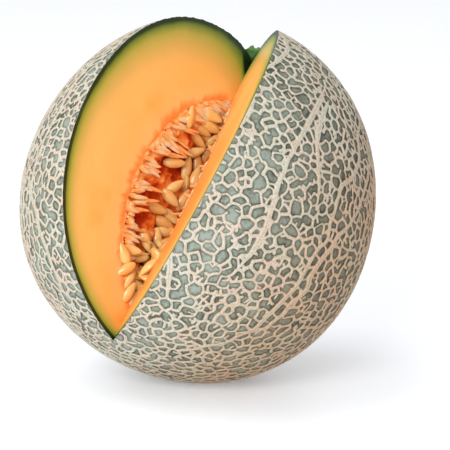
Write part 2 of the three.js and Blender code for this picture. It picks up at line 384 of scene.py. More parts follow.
@dataclass(frozen=True)
class Cavity:
    """The seed cavity: a three-lobed spindle round the knife line."""

    radius: float = 28.0
    middle: float = -6.0
    to_stem: float = 60.0
    to_blossom: float = 51.0
    roundness: float = 0.72
    lobes: int = 3
    lobe_share: float = 0.12
    halvings: int = 24

    def reach(self, height: np.ndarray, turn: np.ndarray, gap: float = 0.0) -> np.ndarray:
        """Distance from the knife line to the cavity's wall.

        Args:
            height: Places along the knife line.
            turn: Turns round the knife line, in radians.
            gap: Amount by which the spindle is made smaller.

        Returns:
            One distance a place, zero past the cavity's ends.
        """
        length = np.where(height > self.middle, self.to_stem, self.to_blossom) - 3 * gap
        share = np.minimum(1.0, np.abs(height - self.middle) / length)
        bulge = 1 + self.lobe_share * np.cos(self.lobes * (turn - math.radians(Face.LEFT.value)))
        return np.maximum(0.0, self.radius * bulge * (1 - share**2) ** self.roundness - gap)

    def wall_along(self, turn: np.ndarray, lean: np.ndarray, gap: float = 0.0) -> np.ndarray:
        """Length of a ray from the knife line's middle to the cavity's wall.

        Args:
            turn: Turn of each ray round the knife line, in radians.
            lean: Angle of each ray from the knife line's stem end, in radians.
            gap: Amount by which the spindle is made smaller.

        Returns:
            One length a ray.
        """
        low = np.zeros(len(lean))
        high = np.full(len(lean), float(self.to_stem + self.to_blossom))
        for _ in range(self.halvings):
            middle = (low + high) / 2
            height = middle * np.cos(lean)
            inside = middle * np.sin(lean) < self.reach(height, turn, gap)
            ends = (height < self.middle + self.to_stem) & (height > self.middle - self.to_blossom)
            inside = np.where(np.sin(lean) < TINY, ends, inside)
            low, high = np.where(inside, middle, low), np.where(inside, high, middle)
        return (low + high) / 2


def aim_at(lean: float, turn: float) -> Vector:
    """Finds a direction from the melon's middle.

    Args:
        lean: Angle from the stem end, in degrees.
        turn: Turn round the stem's axis, in degrees.

    Returns:
        The unit direction.
    """
    lean, turn = math.radians(lean), math.radians(turn)
    across = math.sin(lean)
    return Vector((across * math.cos(turn), across * math.sin(turn), math.cos(lean)))


@dataclass
class CorkNet:
    """The corky net: ridges along the borders of irregular cells, and a few main ridges."""

    form: MelonForm
    cells: int = 3300
    jitter: float = 0.45
    corner_pull: float = 0.45
    half_width: float = 0.74
    width_spread: float = 0.28
    region_spread: float = 0.35
    region_size: float = 17.0
    height: float = 0.62
    bow: float = 0.12
    waist: float = 0.12
    sample_step: float = 0.25
    missing_share: float = 0.08
    broken_length: tuple[float, float] = (0.35, 0.7)
    spur_share: float = 0.22
    spur_reach: tuple[float, float] = (1.5, 3.4)
    spur_lean: float = 0.6
    spur_bow: float = 0.1
    spur_width: float = 0.85
    spur_taper: float = 0.2
    spur_least_samples: int = 8
    main_ridges: int = 17
    main_scatter: float = 0.3
    main_starts: tuple[int, ...] = (14, 30, 55, 70)
    main_ends: tuple[int, ...] = (100, 125, 150, 165)
    main_most_bends: int = 90
    main_straightness: float = 0.8
    main_smoothings: int = 2
    main_half_width: float = 1.2
    main_spread: tuple[float, float] = (0.8, 1.1)
    main_swell: float = 0.22
    main_swell_step: float = 0.021
    main_taper_samples: int = 50
    main_least_half_width: float = 0.5
    main_height: float = 0.72
    groove_share: float = 0.3
    groove_width: float = 0.3
    farthest: float = 3.0
    seed: int = 5
    # Bends of the main ridges that the picture shows: each bend's angle from the stem end, and
    # its turn round the fruit, in degrees.
    shown: tuple[tuple[tuple[float, float], ...], ...] = (
        (
            (60.0, -30.0),
            (76.9, -34.3),
            (86.6, -37.1),
            (95.9, -38.8),
            (103.6, -38.5),
            (109.8, -37.4),
            (117.5, -33.7),
            (124.5, -33.5),
            (131.8, -35.2),
        ),
        ((64.6, -28.2), (76.8, -32.7), (85.3, -32.1), (90.7, -27.4), (96.4, -22.2), (103.2, -21.5)),
    )
    corners: np.ndarray = field(init=False)
    joints: list[tuple[int, int]] = field(init=False)
    thin_tree: KDTree = field(init=False)
    main_tree: KDTree = field(init=False)
    thin_widths: list[float] = field(init=False)
    main_widths: list[float] = field(init=False)

    def __post_init__(self) -> None:
        """Draws the cells and lays the ridges."""
        rng = random.Random(self.seed)
        self.find_cells(rng)
        thin, self.thin_widths = self.thin_samples(rng)
        main, self.main_widths = self.main_samples(rng)
        self.thin_tree = self.tree_of(thin)
        self.main_tree = self.tree_of(main)
        LOG.info("net: %d corners, %d samples", len(self.corners), len(thin) + len(main))

    def find_cells(self, rng: random.Random) -> None:
        """Spreads the cells' middles over the melon and finds the corners where cells meet.

        Args:
            rng: Seeded random source.
        """
        spacing = math.sqrt(4 * math.pi / self.cells)
        golden = math.pi * (3 - math.sqrt(5))
        bm = bmesh.new()
        for i in range(self.cells):
            height = 1 - (2 * i + 1) / self.cells
            across = math.sqrt(1 - height**2)
            place = Vector((across * math.cos(i * golden), across * math.sin(i * golden), height))
            shift = Vector([rng.uniform(-1, 1) for _ in range(3)]) * self.jitter * spacing
            bm.verts.new((place + shift).normalized())
        bmesh.ops.convex_hull(bm, input=bm.verts)
        bm.faces.ensure_lookup_table()
        bm.faces.index_update()
        self.corners = np.array([face.normal.normalized() for face in bm.faces])
        middles = np.array([face.calc_center_median().normalized() for face in bm.faces])
        self.corners[(self.corners * middles).sum(axis=1) < 0] *= -1
        self.corners = (1 - self.corner_pull) * self.corners + self.corner_pull * middles
        self.corners /= np.linalg.norm(self.corners, axis=1)[:, None]
        self.joints = [
            (e.link_faces[0].index, e.link_faces[1].index)
            for e in bm.edges
            if len(e.link_faces) == 2
        ]
        bm.free()

    def tree_of(self, samples: list[Vector]) -> KDTree:
        """Puts ridge samples into a tree for the nearest one to a place.

        Args:
            samples: Unit directions along the ridges.

        Returns:
            The balanced tree, in millimetres on a ball of the melon's mean radius.
        """
        tree = KDTree(len(samples))
        for i, sample in enumerate(samples):
            tree.insert(sample * self.form.mean_radius, i)
        tree.balance()
        return tree

    def walk(self, a: Vector, b: Vector, bow: float) -> list[Vector]:
        """Samples a slightly bowed line between two directions.

        Args:
            a: Unit direction of the start.
            b: Unit direction of the end.
            bow: Sideways bulge as a share of the length.

        Returns:
            Unit directions, a sample step apart.
        """
        length = (b - a).length * self.form.mean_radius
        count = max(2, round(length / self.sample_step))
        side = a.cross(b - a)
        side = side.normalized() * bow * (b - a).length
        return [
            (a.lerp(b, i / count) + side * math.sin(math.pi * i / count)).normalized()
            for i in range(count + 1)
        ]

    def thin_samples(self, rng: random.Random) -> tuple[list[Vector], list[float]]:
        """Lays the thin ridges: cell borders, most of them whole, and spurs into the cells.

        Args:
            rng: Seeded random source.

        Returns:
            Samples along the ridges, and the half width of the ridge at each.
        """
        samples: list[Vector] = []
        widths: list[float] = []
        for first, second in self.joints:
            a, b = Vector(self.corners[first]), Vector(self.corners[second])
            if rng.random() < 0.5:
                a, b = b, a
            draw = rng.random()
            width = self.half_width * (1 + self.width_spread * rng.uniform(-1, 1))
            region = noise.noise(a * (self.form.mean_radius / self.region_size))
            width *= 1 + self.region_spread * region
            bow = self.bow * rng.uniform(-1, 1)
            if draw < self.missing_share:
                continue
            line = self.walk(a, b, bow)
            if draw < 2 * self.missing_share:
                line = line[: max(2, round(len(line) * rng.uniform(*self.broken_length)))]
            samples += line
            past = [math.pi * i / len(line) for i in range(len(line))]
            widths += [width * (1 - self.waist * math.sin(share)) for share in past]
            if rng.random() < self.spur_share and len(line) > self.spur_least_samples:
                root = line[len(line) // 2]
                side = root.cross(b - a).normalized() * rng.choice((-1, 1))
                reach = rng.uniform(*self.spur_reach) / self.form.mean_radius
                lean = (b - a).normalized() * rng.uniform(-self.spur_lean, self.spur_lean)
                end = (root + (side + lean) * reach).normalized()
                spur = self.walk(root, end, self.spur_bow)
                samples += spur
                width *= self.spur_width
                widths += [width * (1 - self.spur_taper * i / len(spur)) for i in range(len(spur))]
        return samples, widths

    def main_samples(self, rng: random.Random) -> tuple[list[Vector], list[float]]:
        """Lays the main ridges, which follow cell borders from the stem end downwards.

        Args:
            rng: Seeded random source.

        Returns:
            Samples along the ridges, and the half width of the ridge at each.
        """
        neighbours: dict[int, list[int]] = {}
        for first, second in self.joints:
            neighbours.setdefault(first, []).append(second)
            neighbours.setdefault(second, []).append(first)
        paths = [[aim_at(*bend) for bend in ridge] for ridge in self.shown]
        for ridge in range(self.main_ridges):
            aside = rng.uniform(-self.main_scatter, self.main_scatter)
            start = aim_at(rng.choice(self.main_starts), 360 * (ridge + aside) / self.main_ridges)
            paths.append(self.path_down(start, rng.choice(self.main_ends), neighbours))
        samples: list[Vector] = []
        widths: list[float] = []
        for number, path in enumerate(paths):
            for _ in range(self.main_smoothings):
                path[1:-1] = [
                    (path[i - 1] + 2 * path[i] + path[i + 1]).normalized()
                    for i in range(1, len(path) - 1)
                ]
            line = [s for a, b in zip(path, path[1:]) for s in self.walk(a, b, 0.0)]
            samples += line
            width = self.main_half_width * rng.uniform(*self.main_spread)
            for i in range(len(line)):
                ends = min(1.0, min(i, len(line) - 1 - i) / self.main_taper_samples)
                swell = 1 + self.main_swell * math.sin(i * self.main_swell_step + number)
                widths.append(max(self.main_least_half_width, width * swell * math.sqrt(ends)))
        return samples, widths

    def path_down(
        self, start: Vector, lowest: float, neighbours: dict[int, list[int]]
    ) -> list[Vector]:
        """Follows cell borders down the fruit.

        Args:
            start: Direction near which the path starts.
            lowest: Angle from the stem end at which it ends, in degrees.
            neighbours: The corners that each corner is joined to.

        Returns:
            The corners along the path.
        """
        down = Vector((0, 0, -1))
        corners = [Vector(corner) for corner in self.corners]
        at = int(np.argmax(self.corners @ np.array(start)))
        path = [corners[at]]
        heading = down
        while path[-1].angle(-down) < math.radians(lowest) and len(path) < self.main_most_bends:
            here = path[-1]
            goal = (down - here * here.dot(down)).normalized()
            goal = (goal + self.main_straightness * heading).normalized()
            steps = [n for n in neighbours[at] if corners[n] not in path[-3:]]
            at = max(steps, key=lambda n: (corners[n] - here).normalized().dot(goal))
            path.append(corners[at])
            heading = (path[-1] - here).normalized()
        return path

    def relief(self, d: np.ndarray) -> tuple[np.ndarray, np.ndarray, np.ndarray]:
        """Relief of the net along directions from the melon's middle.

        Args:
            d: Unit directions, one a row.

        Returns:
            How far the skin lies below the crests in millimetres, the distance to the nearest
            ridge as a share of its half width, and the same for the nearest main ridge.
        """
        places = (d * self.form.mean_radius).tolist()
        thin = np.empty(len(d))
        main = np.empty(len(d))
        for i, place in enumerate(places):
            _, nearest, away = self.thin_tree.find(place)
            thin[i] = away / self.thin_widths[nearest]
            _, nearest, away = self.main_tree.find(place)
            main[i] = away / self.main_widths[nearest]
        thin = np.minimum(thin, self.farthest)
        main = np.minimum(main, self.farthest)
        cord = self.height * np.sqrt(np.clip(1 - thin**2, 0, 1))
        groove = self.groove_share * np.exp(-((main / self.groove_width) ** 2))
        band = self.main_height * (np.clip(1 - main**4, 0, 1) ** 0.5 - groove * (main < 1))
        top = np.maximum(cord, band)
        return self.main_height - top, np.minimum(thin, main), main


@dataclass(frozen=True)
class NettedRindFinish:
    """Cantaloupe rind: waxy green skin under a dry, corky, pale net.

    The cork scatters light like bare wood and shows a grain, which is drawn coarser than the
    real one so that it shows. The skin between the ridges is smoother, and its wax gives it a
    bluish cast. Shade is painted into the colour close to the ridges, on their lower flanks, on
    the right side and on the lower right side. Distances to a ridge are shares of the ridge's
    half width, and a painted shade's reach along its side is in metres.
    """

    skin: tuple[tuple[float, str], ...] = ((0.34, "424639"), (0.49, "71786a"), (0.64, "90998e"))
    # How much darker the skin is painted close to the ridges, as the shade that they cast, and
    # within which distances.
    ridge_shade_tones: tuple[float, float] = (-0.12, 0.1)
    ridge_shade_within: tuple[float, float] = (1.0, 2.8)
    patch_share: float = 0.55
    speckle_share: float = 0.45
    # Colour of the ridges' lower flanks: partly the cork's browner foot, partly painted shade on
    # the rounded flanks.
    foot: str = "857a62"
    foot_within: tuple[float, float] = (0.75, 1.0)
    skin_from: tuple[float, float] = (0.98, 1.15)
    crest: tuple[tuple[float, str], ...] = ((0.42, "c6c3b3"), (0.58, "cbbdac"))
    worn: str = "9f917c"
    wear: tuple[tuple[float, float], ...] = ((0.3, 0.8), (0.55, 0.0))
    groove: str = "9c8a72"
    split: tuple[tuple[float, float], ...] = ((0.0, 1.0), (0.22, 0.0))
    # The right side is painted darker: partly browner skin, partly painted shade where the light
    # falls off.
    right_brown_and_shade: str = "baae9e"
    right_shade_side: tuple[float, float, float] = (1.0, 0.0, 0.0)
    right_shade_reach: tuple[float, float] = (0.02, 0.07)
    # Painted shade with a warm tint over the lower right side of the fruit, on cork and skin alike.
    lower_warm_shade: str = "f6dfcb"
    lower_shade_side: tuple[float, float, float] = (0.75, 0.0, -0.66)
    lower_shade_reach: tuple[float, float] = (-0.038, 0.002)
    patch_size_mm: float = 9.0
    hue_size_mm: float = 15.0
    speckle_size_mm: float = 1.4
    grain_size_mm: float = 0.7
    grain_depth_mm: float = 0.25
    cork_and_skin_roughness: tuple[float, float] = (0.82, 0.5)

    def tinted(
        self,
        made: bpy.types.Material,
        colour: bpy.types.NodeSocket,
        side: tuple[bpy.types.NodeSocket, tuple[float, float, float]],
        reach: tuple[float, float],
        tint: str,
    ) -> bpy.types.NodeSocket:
        """Paints shade onto one side of the fruit by multiplying a colour in along one direction.

        Args:
            made: Material that takes the nodes.
            colour: The colour so far.
            side: Places on the object, and the direction of that side.
            reach: How far along the direction the tint starts and is full, in metres.
            tint: What the colour is multiplied with.

        Returns:
            The colour with the painted shade.
        """
        where = dict(enumerate(side))
        along = add_node(made, "VectorMath", where, "Value", operation="DOT_PRODUCT")
        share = add_node(made, "MapRange", {"Value": along, **span(reach)})
        mixed = {"Factor": share, "A": colour, "B": linear(tint)}
        return add_node(made, "Mix", mixed, 2, data_type="RGBA", blend_type="MULTIPLY")

    def material(self) -> bpy.types.Material:
        """Makes the finish of the rind's outside.

        Returns:
            The material. It reads the attributes net and main.
        """
        made = new_material("netted_cantaloupe_rind")
        place = add_node(made, "TexCoord", output="Object")
        net, main = (
            add_node(made, "Attribute", output="Fac", attribute_name=name)
            for name in ("net", "main")
        )
        patches, speckles, hues, grain = (
            add_node(made, "TexNoise", {"Vector": place, "Scale": 1 / (size * MM), "Detail": finer})
            for size, finer in (
                (self.patch_size_mm, 3.0),
                (self.speckle_size_mm, 3.0),
                (self.hue_size_mm, 2.0),
                (self.grain_size_mm, 4.0),
            )
        )
        # Painted shade: the skin's tone drops close to the ridges, as the shade that they cast.
        near = {"Value": net, **span(self.ridge_shade_within), **span(self.ridge_shade_tones, "To")}
        tone = add_node(made, "MapRange", near)
        for pattern, share in ((patches, self.patch_share), (speckles, self.speckle_share)):
            tone = add_node(made, "Math", {0: pattern, 1: share, 2: tone}, operation="MULTIPLY_ADD")
        wear, split, foot, bare = (
            add_node(made, "ValToRGB", {"Fac": grain}, ramp=self.wear),
            add_node(made, "ValToRGB", {"Fac": main}, ramp=self.split),
            add_node(made, "MapRange", {"Value": net, **span(self.foot_within)}),
            add_node(made, "MapRange", {"Value": net, **span(self.skin_from)}),
        )
        skin = add_node(made, "ValToRGB", {"Fac": tone}, ramp=self.skin)
        # Painted shade, with browner skin, towards the right side of the fruit.
        shade = (place, self.right_shade_side)
        skin = self.tinted(made, skin, shade, self.right_shade_reach, self.right_brown_and_shade)
        colour = add_node(made, "ValToRGB", {"Fac": hues}, ramp=self.crest)
        for share, paint in (
            (wear, linear(self.worn)),
            (split, linear(self.groove)),
            # The ridges' lower flanks take the browner foot colour, which carries painted shade.
            (foot, linear(self.foot)),
            (bare, skin),
        ):
            mixed = {"Factor": share, "A": colour, "B": paint}
            colour = add_node(made, "Mix", mixed, 2, data_type="RGBA")
        # Painted warm shade towards the lower right.
        lower_shade = (place, self.lower_shade_side)
        colour = self.tinted(made, colour, lower_shade, self.lower_shade_reach, self.lower_warm_shade)
        dull = {"Value": bare, **span(self.cork_and_skin_roughness, "To")}
        relief = {"Height": grain, "Strength": 0.35, "Distance": self.grain_depth_mm * MM}
        surface = {
            "Base Color": colour,
            "Roughness": add_node(made, "MapRange", dull),
            "IOR": 1.45,
            "Normal": add_node(made, "Bump", relief),
        }
        add_node(made, "OutputMaterial", {"Surface": add_node(made, "BsdfPrincipled", surface)})
        return made


@dataclass(frozen=True)
class CutFleshFinish:
    """Ripe cantaloupe flesh, freshly cut: wet cells that let light in and glow from within.

    The colour runs from the dark green of the rind through yellow green to orange, and turns
    deeper and streaky beside the cavity. A deeper orange is also painted as shade into the notch's
    inner corner and over the right cut face. The cells are drawn coarser than the real ones so
    that they show.
    """

    band: tuple[tuple[float, str], ...] = (
        (0.0, "1a2811"),
        (0.9, "26380f"),
        (1.4, "4a601a"),
        (2.1, "75842c"),
        (3.1, "959938"),
        (4.4, "b7aa48"),
        (6.0, "cab154"),
        (8.0, "dcb560"),
        (10.5, "ebbb69"),
        (13.5, "f8c06c"),
        (20.0, "fdc471"),
    )
    band_wander_mm: float = 2.0
    mottle: str = "fdb458"
    mottle_above: tuple[float, float] = (0.45, 0.7)
    mottle_share: float = 0.7
    mottle_from_mm: tuple[float, float] = (13.0, 22.0)
    near_cavity: str = "fdc984"
    # Deeper orange: the flesh's own colour by the cavity's wall, and painted shade in the notch's
    # inner corner and on the right cut face.
    deeper_orange_and_shade: str = "fb9a42"
    border_pale: str = "f9a357"
    border: str = "eb8535"
    border_blend_mm: tuple[float, float] = (0.69, 3.91)
    near_reach_mm: float = 20.0
    teeth_depth_mm: float = 9.0
    fibre_depth_mm: float = 3.0
    teeth_scale: float = 0.3
    mottle_size_mm: float = 16.0
    cell_size_mm: float = 1.1
    cell_depth_mm: float = 0.2
    scatter_depth_mm: float = 1.5
    scatter_share: float = 0.35

    def material(self) -> bpy.types.Material:
        """Makes the finish of the flesh and of the rind's cut edges.

        Returns:
            The material. It reads the attributes depth, near, tone and streak.
        """
        made = new_material("ripe_orange_melon_flesh")
        place = add_node(made, "TexCoord", output="Object")
        depth, near, tone = (
            add_node(made, "Attribute", output="Fac", attribute_name=name)
            for name in ("depth", "near", "tone")
        )
        streak = add_node(made, "Attribute", output="Vector", attribute_name="streak")
        mottle, cells, fibres, teeth = (
            add_node(made, "TexNoise", {"Vector": where, "Scale": scale, "Detail": finer})
            for where, scale, finer in (
                (place, 1 / (self.mottle_size_mm * MM), 4.0),
                (place, 1 / (self.cell_size_mm * MM), 2.0),
                (streak, 1.0, 3.0),
                (streak, self.teeth_scale, 1.0),
            )
        )
        wander, deepest = self.band_wander_mm, self.band[-1][0]
        uneven = {0: mottle, 1: wander, 2: depth}
        share = {
            "Value": add_node(made, "Math", uneven, operation="MULTIPLY_ADD"),
            **span((wander / 2, deepest + wander / 2)),
        }
        stops = [(mm / deepest, colour) for mm, colour in self.band]
        flesh = add_node(made, "ValToRGB", {"Fac": add_node(made, "MapRange", share)}, ramp=stops)
        blush = {"Value": mottle, **span(self.mottle_above), "To Max": self.mottle_share}
        inner = {"Value": depth, **span(self.mottle_from_mm)}
        both = {i: add_node(made, "MapRange", part) for i, part in enumerate((blush, inner))}
        layers = [(add_node(made, "Math", both, operation="MULTIPLY"), self.mottle)]
        # Below zero the layer tone pales the flesh near the cavity; above zero it deepens it,
        # partly to its own deeper orange and partly as painted shade.
        for sign, colour in ((-1.0, self.near_cavity), (1.0, self.deeper_orange_and_shade)):
            signed = {0: tone, 1: sign}
            share = add_node(made, "Math", signed, operation="MULTIPLY", use_clamp=True)
            layers.append((share, colour))
        for share, colour in layers:
            mixed = {"Factor": share, "A": flesh, "B": linear(colour)}
            flesh = add_node(made, "Mix", mixed, 2, data_type="RGBA")
        shore = {0: near, 1: -self.near_reach_mm, 2: self.near_reach_mm}
        ragged = add_node(made, "Math", shore, operation="MULTIPLY_ADD")
        for pattern, reach in ((teeth, self.teeth_depth_mm), (fibres, self.fibre_depth_mm)):
            cut_in = {0: pattern, 1: -reach, 2: ragged}
            ragged = add_node(made, "Math", cut_in, operation="MULTIPLY_ADD")
        middle = -(self.teeth_depth_mm + self.fibre_depth_mm) / 2
        blend = [middle + mm for mm in self.border_blend_mm]
        fades = {"Value": ragged, **span(blend), "To Min": 1.0, "To Max": 0.0}
        ripe = {"Factor": fibres, "A": linear(self.border_pale), "B": linear(self.border)}
        mixed = {
            "Factor": add_node(made, "MapRange", fades),
            "A": flesh,
            "B": add_node(made, "Mix", ripe, 2, data_type="RGBA"),
        }
        relief = {"Height": cells, "Strength": 0.25, "Distance": self.cell_depth_mm * MM}
        surface = {
            "Base Color": add_node(made, "Mix", mixed, 2, data_type="RGBA"),
            "Roughness": 0.42,
            "IOR": 1.36,
            "Subsurface Weight": self.scatter_share,
            "Subsurface Radius": (1.0, 0.55, 0.25),
            "Subsurface Scale": self.scatter_depth_mm * MM,
            "Normal": add_node(made, "Bump", relief),
        }
        shader = add_node(made, "BsdfPrincipled", surface, subsurface_method="RANDOM_WALK")
        add_node(made, "OutputMaterial", {"Surface": shader})
        return made


@dataclass
class Rind:
    """The rind with its net, in closed shells side by side round the knife line."""

    form: MelonForm
    net: CorkNet
    thickness: float = 1.6
    lift: float = 0.35
    floor_gap: float = 0.3
    rim_width: float = 2.0
    pressed_width: float = 1.6
    pressed_share: float = 0.6
    sectors: int = 5
    columns: int = 158
    rows: int = 464
    inner_rows: int = 96

    def surface(
        self, bm: bmesh.types.BMesh, start: float, sweep: float, outer: bool
    ) -> list[list[bmesh.types.BMEdge]]:
        """Adds the outer or the inner surface of one shell.

        Args:
            bm: Mesh that takes it, with the layers net, main and depth.
            start: Turn at which the shell starts, in radians.
            sweep: Turn that it covers, in radians.
            outer: True for the netted outside, false for the inside.

        Returns:
            The edges along its first side, and those along its last side.
        """
        verts, flat = add_grid(bm, self.columns, self.rows if outer else self.inner_rows)
        turn = start + (flat[:, 0] + 1) / 2 * sweep
        lean = (flat[:, 1] + 1) / 2 * math.pi
        reach, rays = self.form.skin_hits(turn, lean)
        middle = np.array(self.form.knife_point)
        if outer:
            hits = middle + reach[:, None] * rays
            below, net, main = self.net.relief(hits / np.linalg.norm(hits, axis=1)[:, None])
            first, last = cut_turns()
            from_cut = np.minimum(turn - first, last - turn) * reach * np.sin(lean)
            pressed = np.clip(1 - from_cut / self.pressed_width, 0, 1)
            below = below * (1 - self.pressed_share * pressed)
        else:
            below = np.full(len(flat), self.thickness)
            net = main = np.full(len(flat), self.net.farthest)
        raised = reach - below + (self.lift if outer else 0.0)
        places = self.form.to_world(middle + raised[:, None] * rays) * MM
        places[:, 2] = np.maximum(places[:, 2], 0.0 if outer else self.floor_gap * MM)
        layers = {"net": net, "main": main, "depth": below / self.rim_width}
        shape_grid(bm, verts, places, layers)
        return grid_sides(verts, flat)

    def build(self, materials: list[bpy.types.Material]) -> None:
        """Builds the shells.

        Args:
            materials: The netted outside and the cut edge.
        """
        first, last = cut_turns()
        sweep = (last - first) / self.sectors
        for number in range(self.sectors):
            bm = bmesh.new()
            for name in ("net", "main", "depth"):
                bm.verts.layers.float.new(name)
            start = first + number * sweep
            sides = (self.surface(bm, start, sweep, outer) for outer in (True, False))
            for outer, inner in zip(*sides):
                for face in bmesh.ops.bridge_loops(bm, edges=outer + inner)["faces"]:
                    face.material_index = 1
            weld(bm)
            name = f"rind_{number + 1}"
            finish_mesh(name, bm, materials, "melon_body")


@dataclass
class Flesh:
    """The flesh: closed round the back, with the two cut faces and the cavity's wall."""

    form: MelonForm
    cavity: Cavity
    skin: float = 1.6
    floor_gap: float = 0.35
    rows: int = 288
    face_columns: int = 56
    face_crowding: float = 1.25
    wall_columns: int = 150
    back_columns: int = 24
    wall_lump: float = 0.9
    wall_lump_size: float = 6.0
    wall_calm_radius: float = 6.0
    knife_wave: float = 0.25
    knife_wave_size: float = 24.0
    knife_wave_fade: float = 4.0
    sharp_angle: float = 50.0
    wall_seed: float = 3.0
    wave_seed: float = 11.0
    band_at_stem: float = 1.4
    band_at_blossom: float = 0.75
    band_turns_from: float = 60.0
    band_turns_over: float = 75.0
    wider_at_stem: float = 0.7
    wider_turns: float = 42.0
    core_by_axis: float = 0.96
    core_by_skin: float = 1.09
    core_size: float = 8.2
    core_least: float = 0.3
    near_reach: float = 20.0
    streaks_along: float = 34.0
    streaks_round: float = 0.4
    streaks_inward: float = 0.16
    pale_tone: float = -0.9
    pale_width: float = 13.0
    # Width of the deeper orange painted as shade along the knife line, in the notch's inner corner.
    corner_shade_width: float = 5.0
    deep_from: float = 22.0
    # The right cut face's deeper orange: partly the flesh's own near the cavity, partly painted
    # shade, as the face lies in the notch's shadow. It grows towards the blossom end.
    right_shade_and_orange: float = 0.35
    right_deeper_to_blossom: float = 0.6
    deepen_from_lean: float = 50.0
    deepen_over_lean: float = 60.0
    tone_from: float = 4.0
    tone_over: float = 9.0
    wall_tone: float = 0.9
    deep: float = 40.0
    wall_shore: float = 300.0

    def wall(self, turn: np.ndarray, lean: np.ndarray) -> np.ndarray:
        """Length of a ray from the knife line's middle to the lumpy wall of the cavity.

        Args:
            turn: Turn of each ray round the knife line, in radians.
            lean: Angle of each ray from the knife line's stem end, in radians.

        Returns:
            One length a ray, in millimetres.
        """
        bare = self.cavity.wall_along(turn, lean)
        across = bare * np.sin(lean)
        places = np.stack([across * np.cos(turn), across * np.sin(turn), bare * np.cos(lean)], 1)
        lumps = seeded_noise(places, self.wall_lump_size, self.wall_seed)
        return bare + self.wall_lump * lumps * np.minimum(1, np.abs(across) / self.wall_calm_radius)

    def grid(self, bm: bmesh.types.BMesh, columns: int, place: Callable[..., tuple]) -> None:
        """Adds one surface of the flesh.

        Args:
            bm: Mesh that takes it, with the layers depth, near, tone and streak.
            columns: Number of faces across.
            place: Method that takes shares across and leans in radians. It returns turns, ray
                lengths, depths, distances from the cavity's edge, tones and shifts.
        """
        verts, flat = add_grid(bm, columns, self.rows)
        lean = (flat[:, 1] + 1) / 2 * math.pi
        turn, length, depth, shore, tone, shift = place((flat[:, 0] + 1) / 2, lean)
        _, rays = self.form.skin_hits(turn, lean)
        start = np.array(self.form.knife_point)
        spots = self.form.to_world(start + length[:, None] * rays + shift) * MM
        spots[:, 2] = np.maximum(spots[:, 2], self.floor_gap * MM)
        past = np.clip((np.degrees(lean) - self.band_turns_from) / self.band_turns_over, 0, 1)
        band = self.band_at_stem + (self.band_at_blossom - self.band_at_stem) * past
        band += self.wider_at_stem * np.clip(1 - np.degrees(lean) / self.wider_turns, 0, 1)
        core = self.core_by_axis * length * np.sin(lean) + self.core_by_skin * depth
        core = np.maximum(self.core_least, core - self.core_size)
        ring = np.minimum(depth / band, np.where(lean < math.pi / 2, core, self.deep))
        streak = (lean * self.streaks_along, np.degrees(turn) * self.streaks_round)
        layers = {
            "depth": ring,
            "near": 1 - shore / self.near_reach,
            "tone": tone * np.clip((ring - self.tone_from) / self.tone_over, 0, 1),
            "streak": np.stack([*streak, shore * self.streaks_inward], axis=1),
        }
        shape_grid(bm, verts, spots, layers)

    def on_cut(self, face: Face, share: np.ndarray, lean: np.ndarray) -> tuple:
        """Places one cut face, from the cavity's edge out to the rind.

        Args:
            face: Which of the two cuts.
            share: Shares of the way across.
            lean: Leans of the rays from the stem end, in radians.

        Returns:
            What grid asks for.
        """
        angle = math.radians(face.value)
        into = 1 if face is Face.LEFT else -1
        normal = Vector((-math.sin(angle), math.cos(angle), 0)) * into
        outward = np.array(self.form.knife_matrix().to_3x3() @ normal)
        turn = np.full(len(lean), angle)
        reach, _ = self.form.skin_hits(turn, lean)
        inner = self.wall(turn, lean)
        outer = reach - self.skin
        length = inner + share**self.face_crowding * (outer - inner)
        shore = length - inner
        across = length * np.sin(lean)
        flat = np.stack([length * np.cos(lean), across, np.zeros(len(lean))], axis=1)
        waves = seeded_noise(flat, self.knife_wave_size, self.wave_seed + face.value, 2)
        held = np.minimum(1, (outer - length) / self.knife_wave_fade)
        held = held * np.minimum(1, across / self.knife_wave_fade)
        shift = (self.knife_wave * waves * held * (share > 0))[:, None] * outward[None, :]
        if face is Face.LEFT:
            tone = self.pale_tone * np.clip(1 - shore / self.pale_width, 0, 1)
            # Painted shade: a deeper orange along the knife line, in the notch's inner corner.
            tone += np.exp(-((across / self.corner_shade_width) ** 2))
        else:
            # Deeper orange on the right cut face away from its rind, more towards the blossom end:
            # partly its own colour, partly painted shade.
            blossom_share = np.clip((np.degrees(lean) - self.deepen_from_lean) / self.deepen_over_lean, 0, 1)
            tone = self.right_shade_and_orange + self.right_deeper_to_blossom * blossom_share
            tone = tone * np.clip((reach - length) / self.deep_from, 0, 1)
        return turn, length, reach - length, shore, tone, shift

    def on_wall(self, share: np.ndarray, lean: np.ndarray) -> tuple:
        """Places the cavity's wall.

        Args:
            share: Shares of the way round from the right cut to the left one.
            lean: Leans of the rays from the stem end, in radians.

        Returns:
            What grid asks for.
        """
        first, last = cut_turns()
        turn = first + share * (last - first)
        deep = np.full(len(lean), self.deep)
        tone = np.full(len(lean), self.wall_tone)
        shore = -np.minimum(share, 1 - share) * self.wall_shore
        return turn, self.wall(turn, lean), deep, shore, tone, np.zeros(3)

    def on_back(self, share: np.ndarray, lean: np.ndarray) -> tuple:
        """Places the flesh's outside, under the rind.

        Args:
            share: Shares of the way round from the right cut to the left one.
            lean: Leans of the rays from the stem end, in radians.

        Returns:
            What grid asks for.
        """
        first, last = cut_turns()
        turn = first + share * (last - first)
        reach, _ = self.form.skin_hits(turn, lean)
        depth = np.full(len(lean), self.skin)
        return turn, reach - self.skin, depth, depth + self.deep, 0 * depth, np.zeros(3)

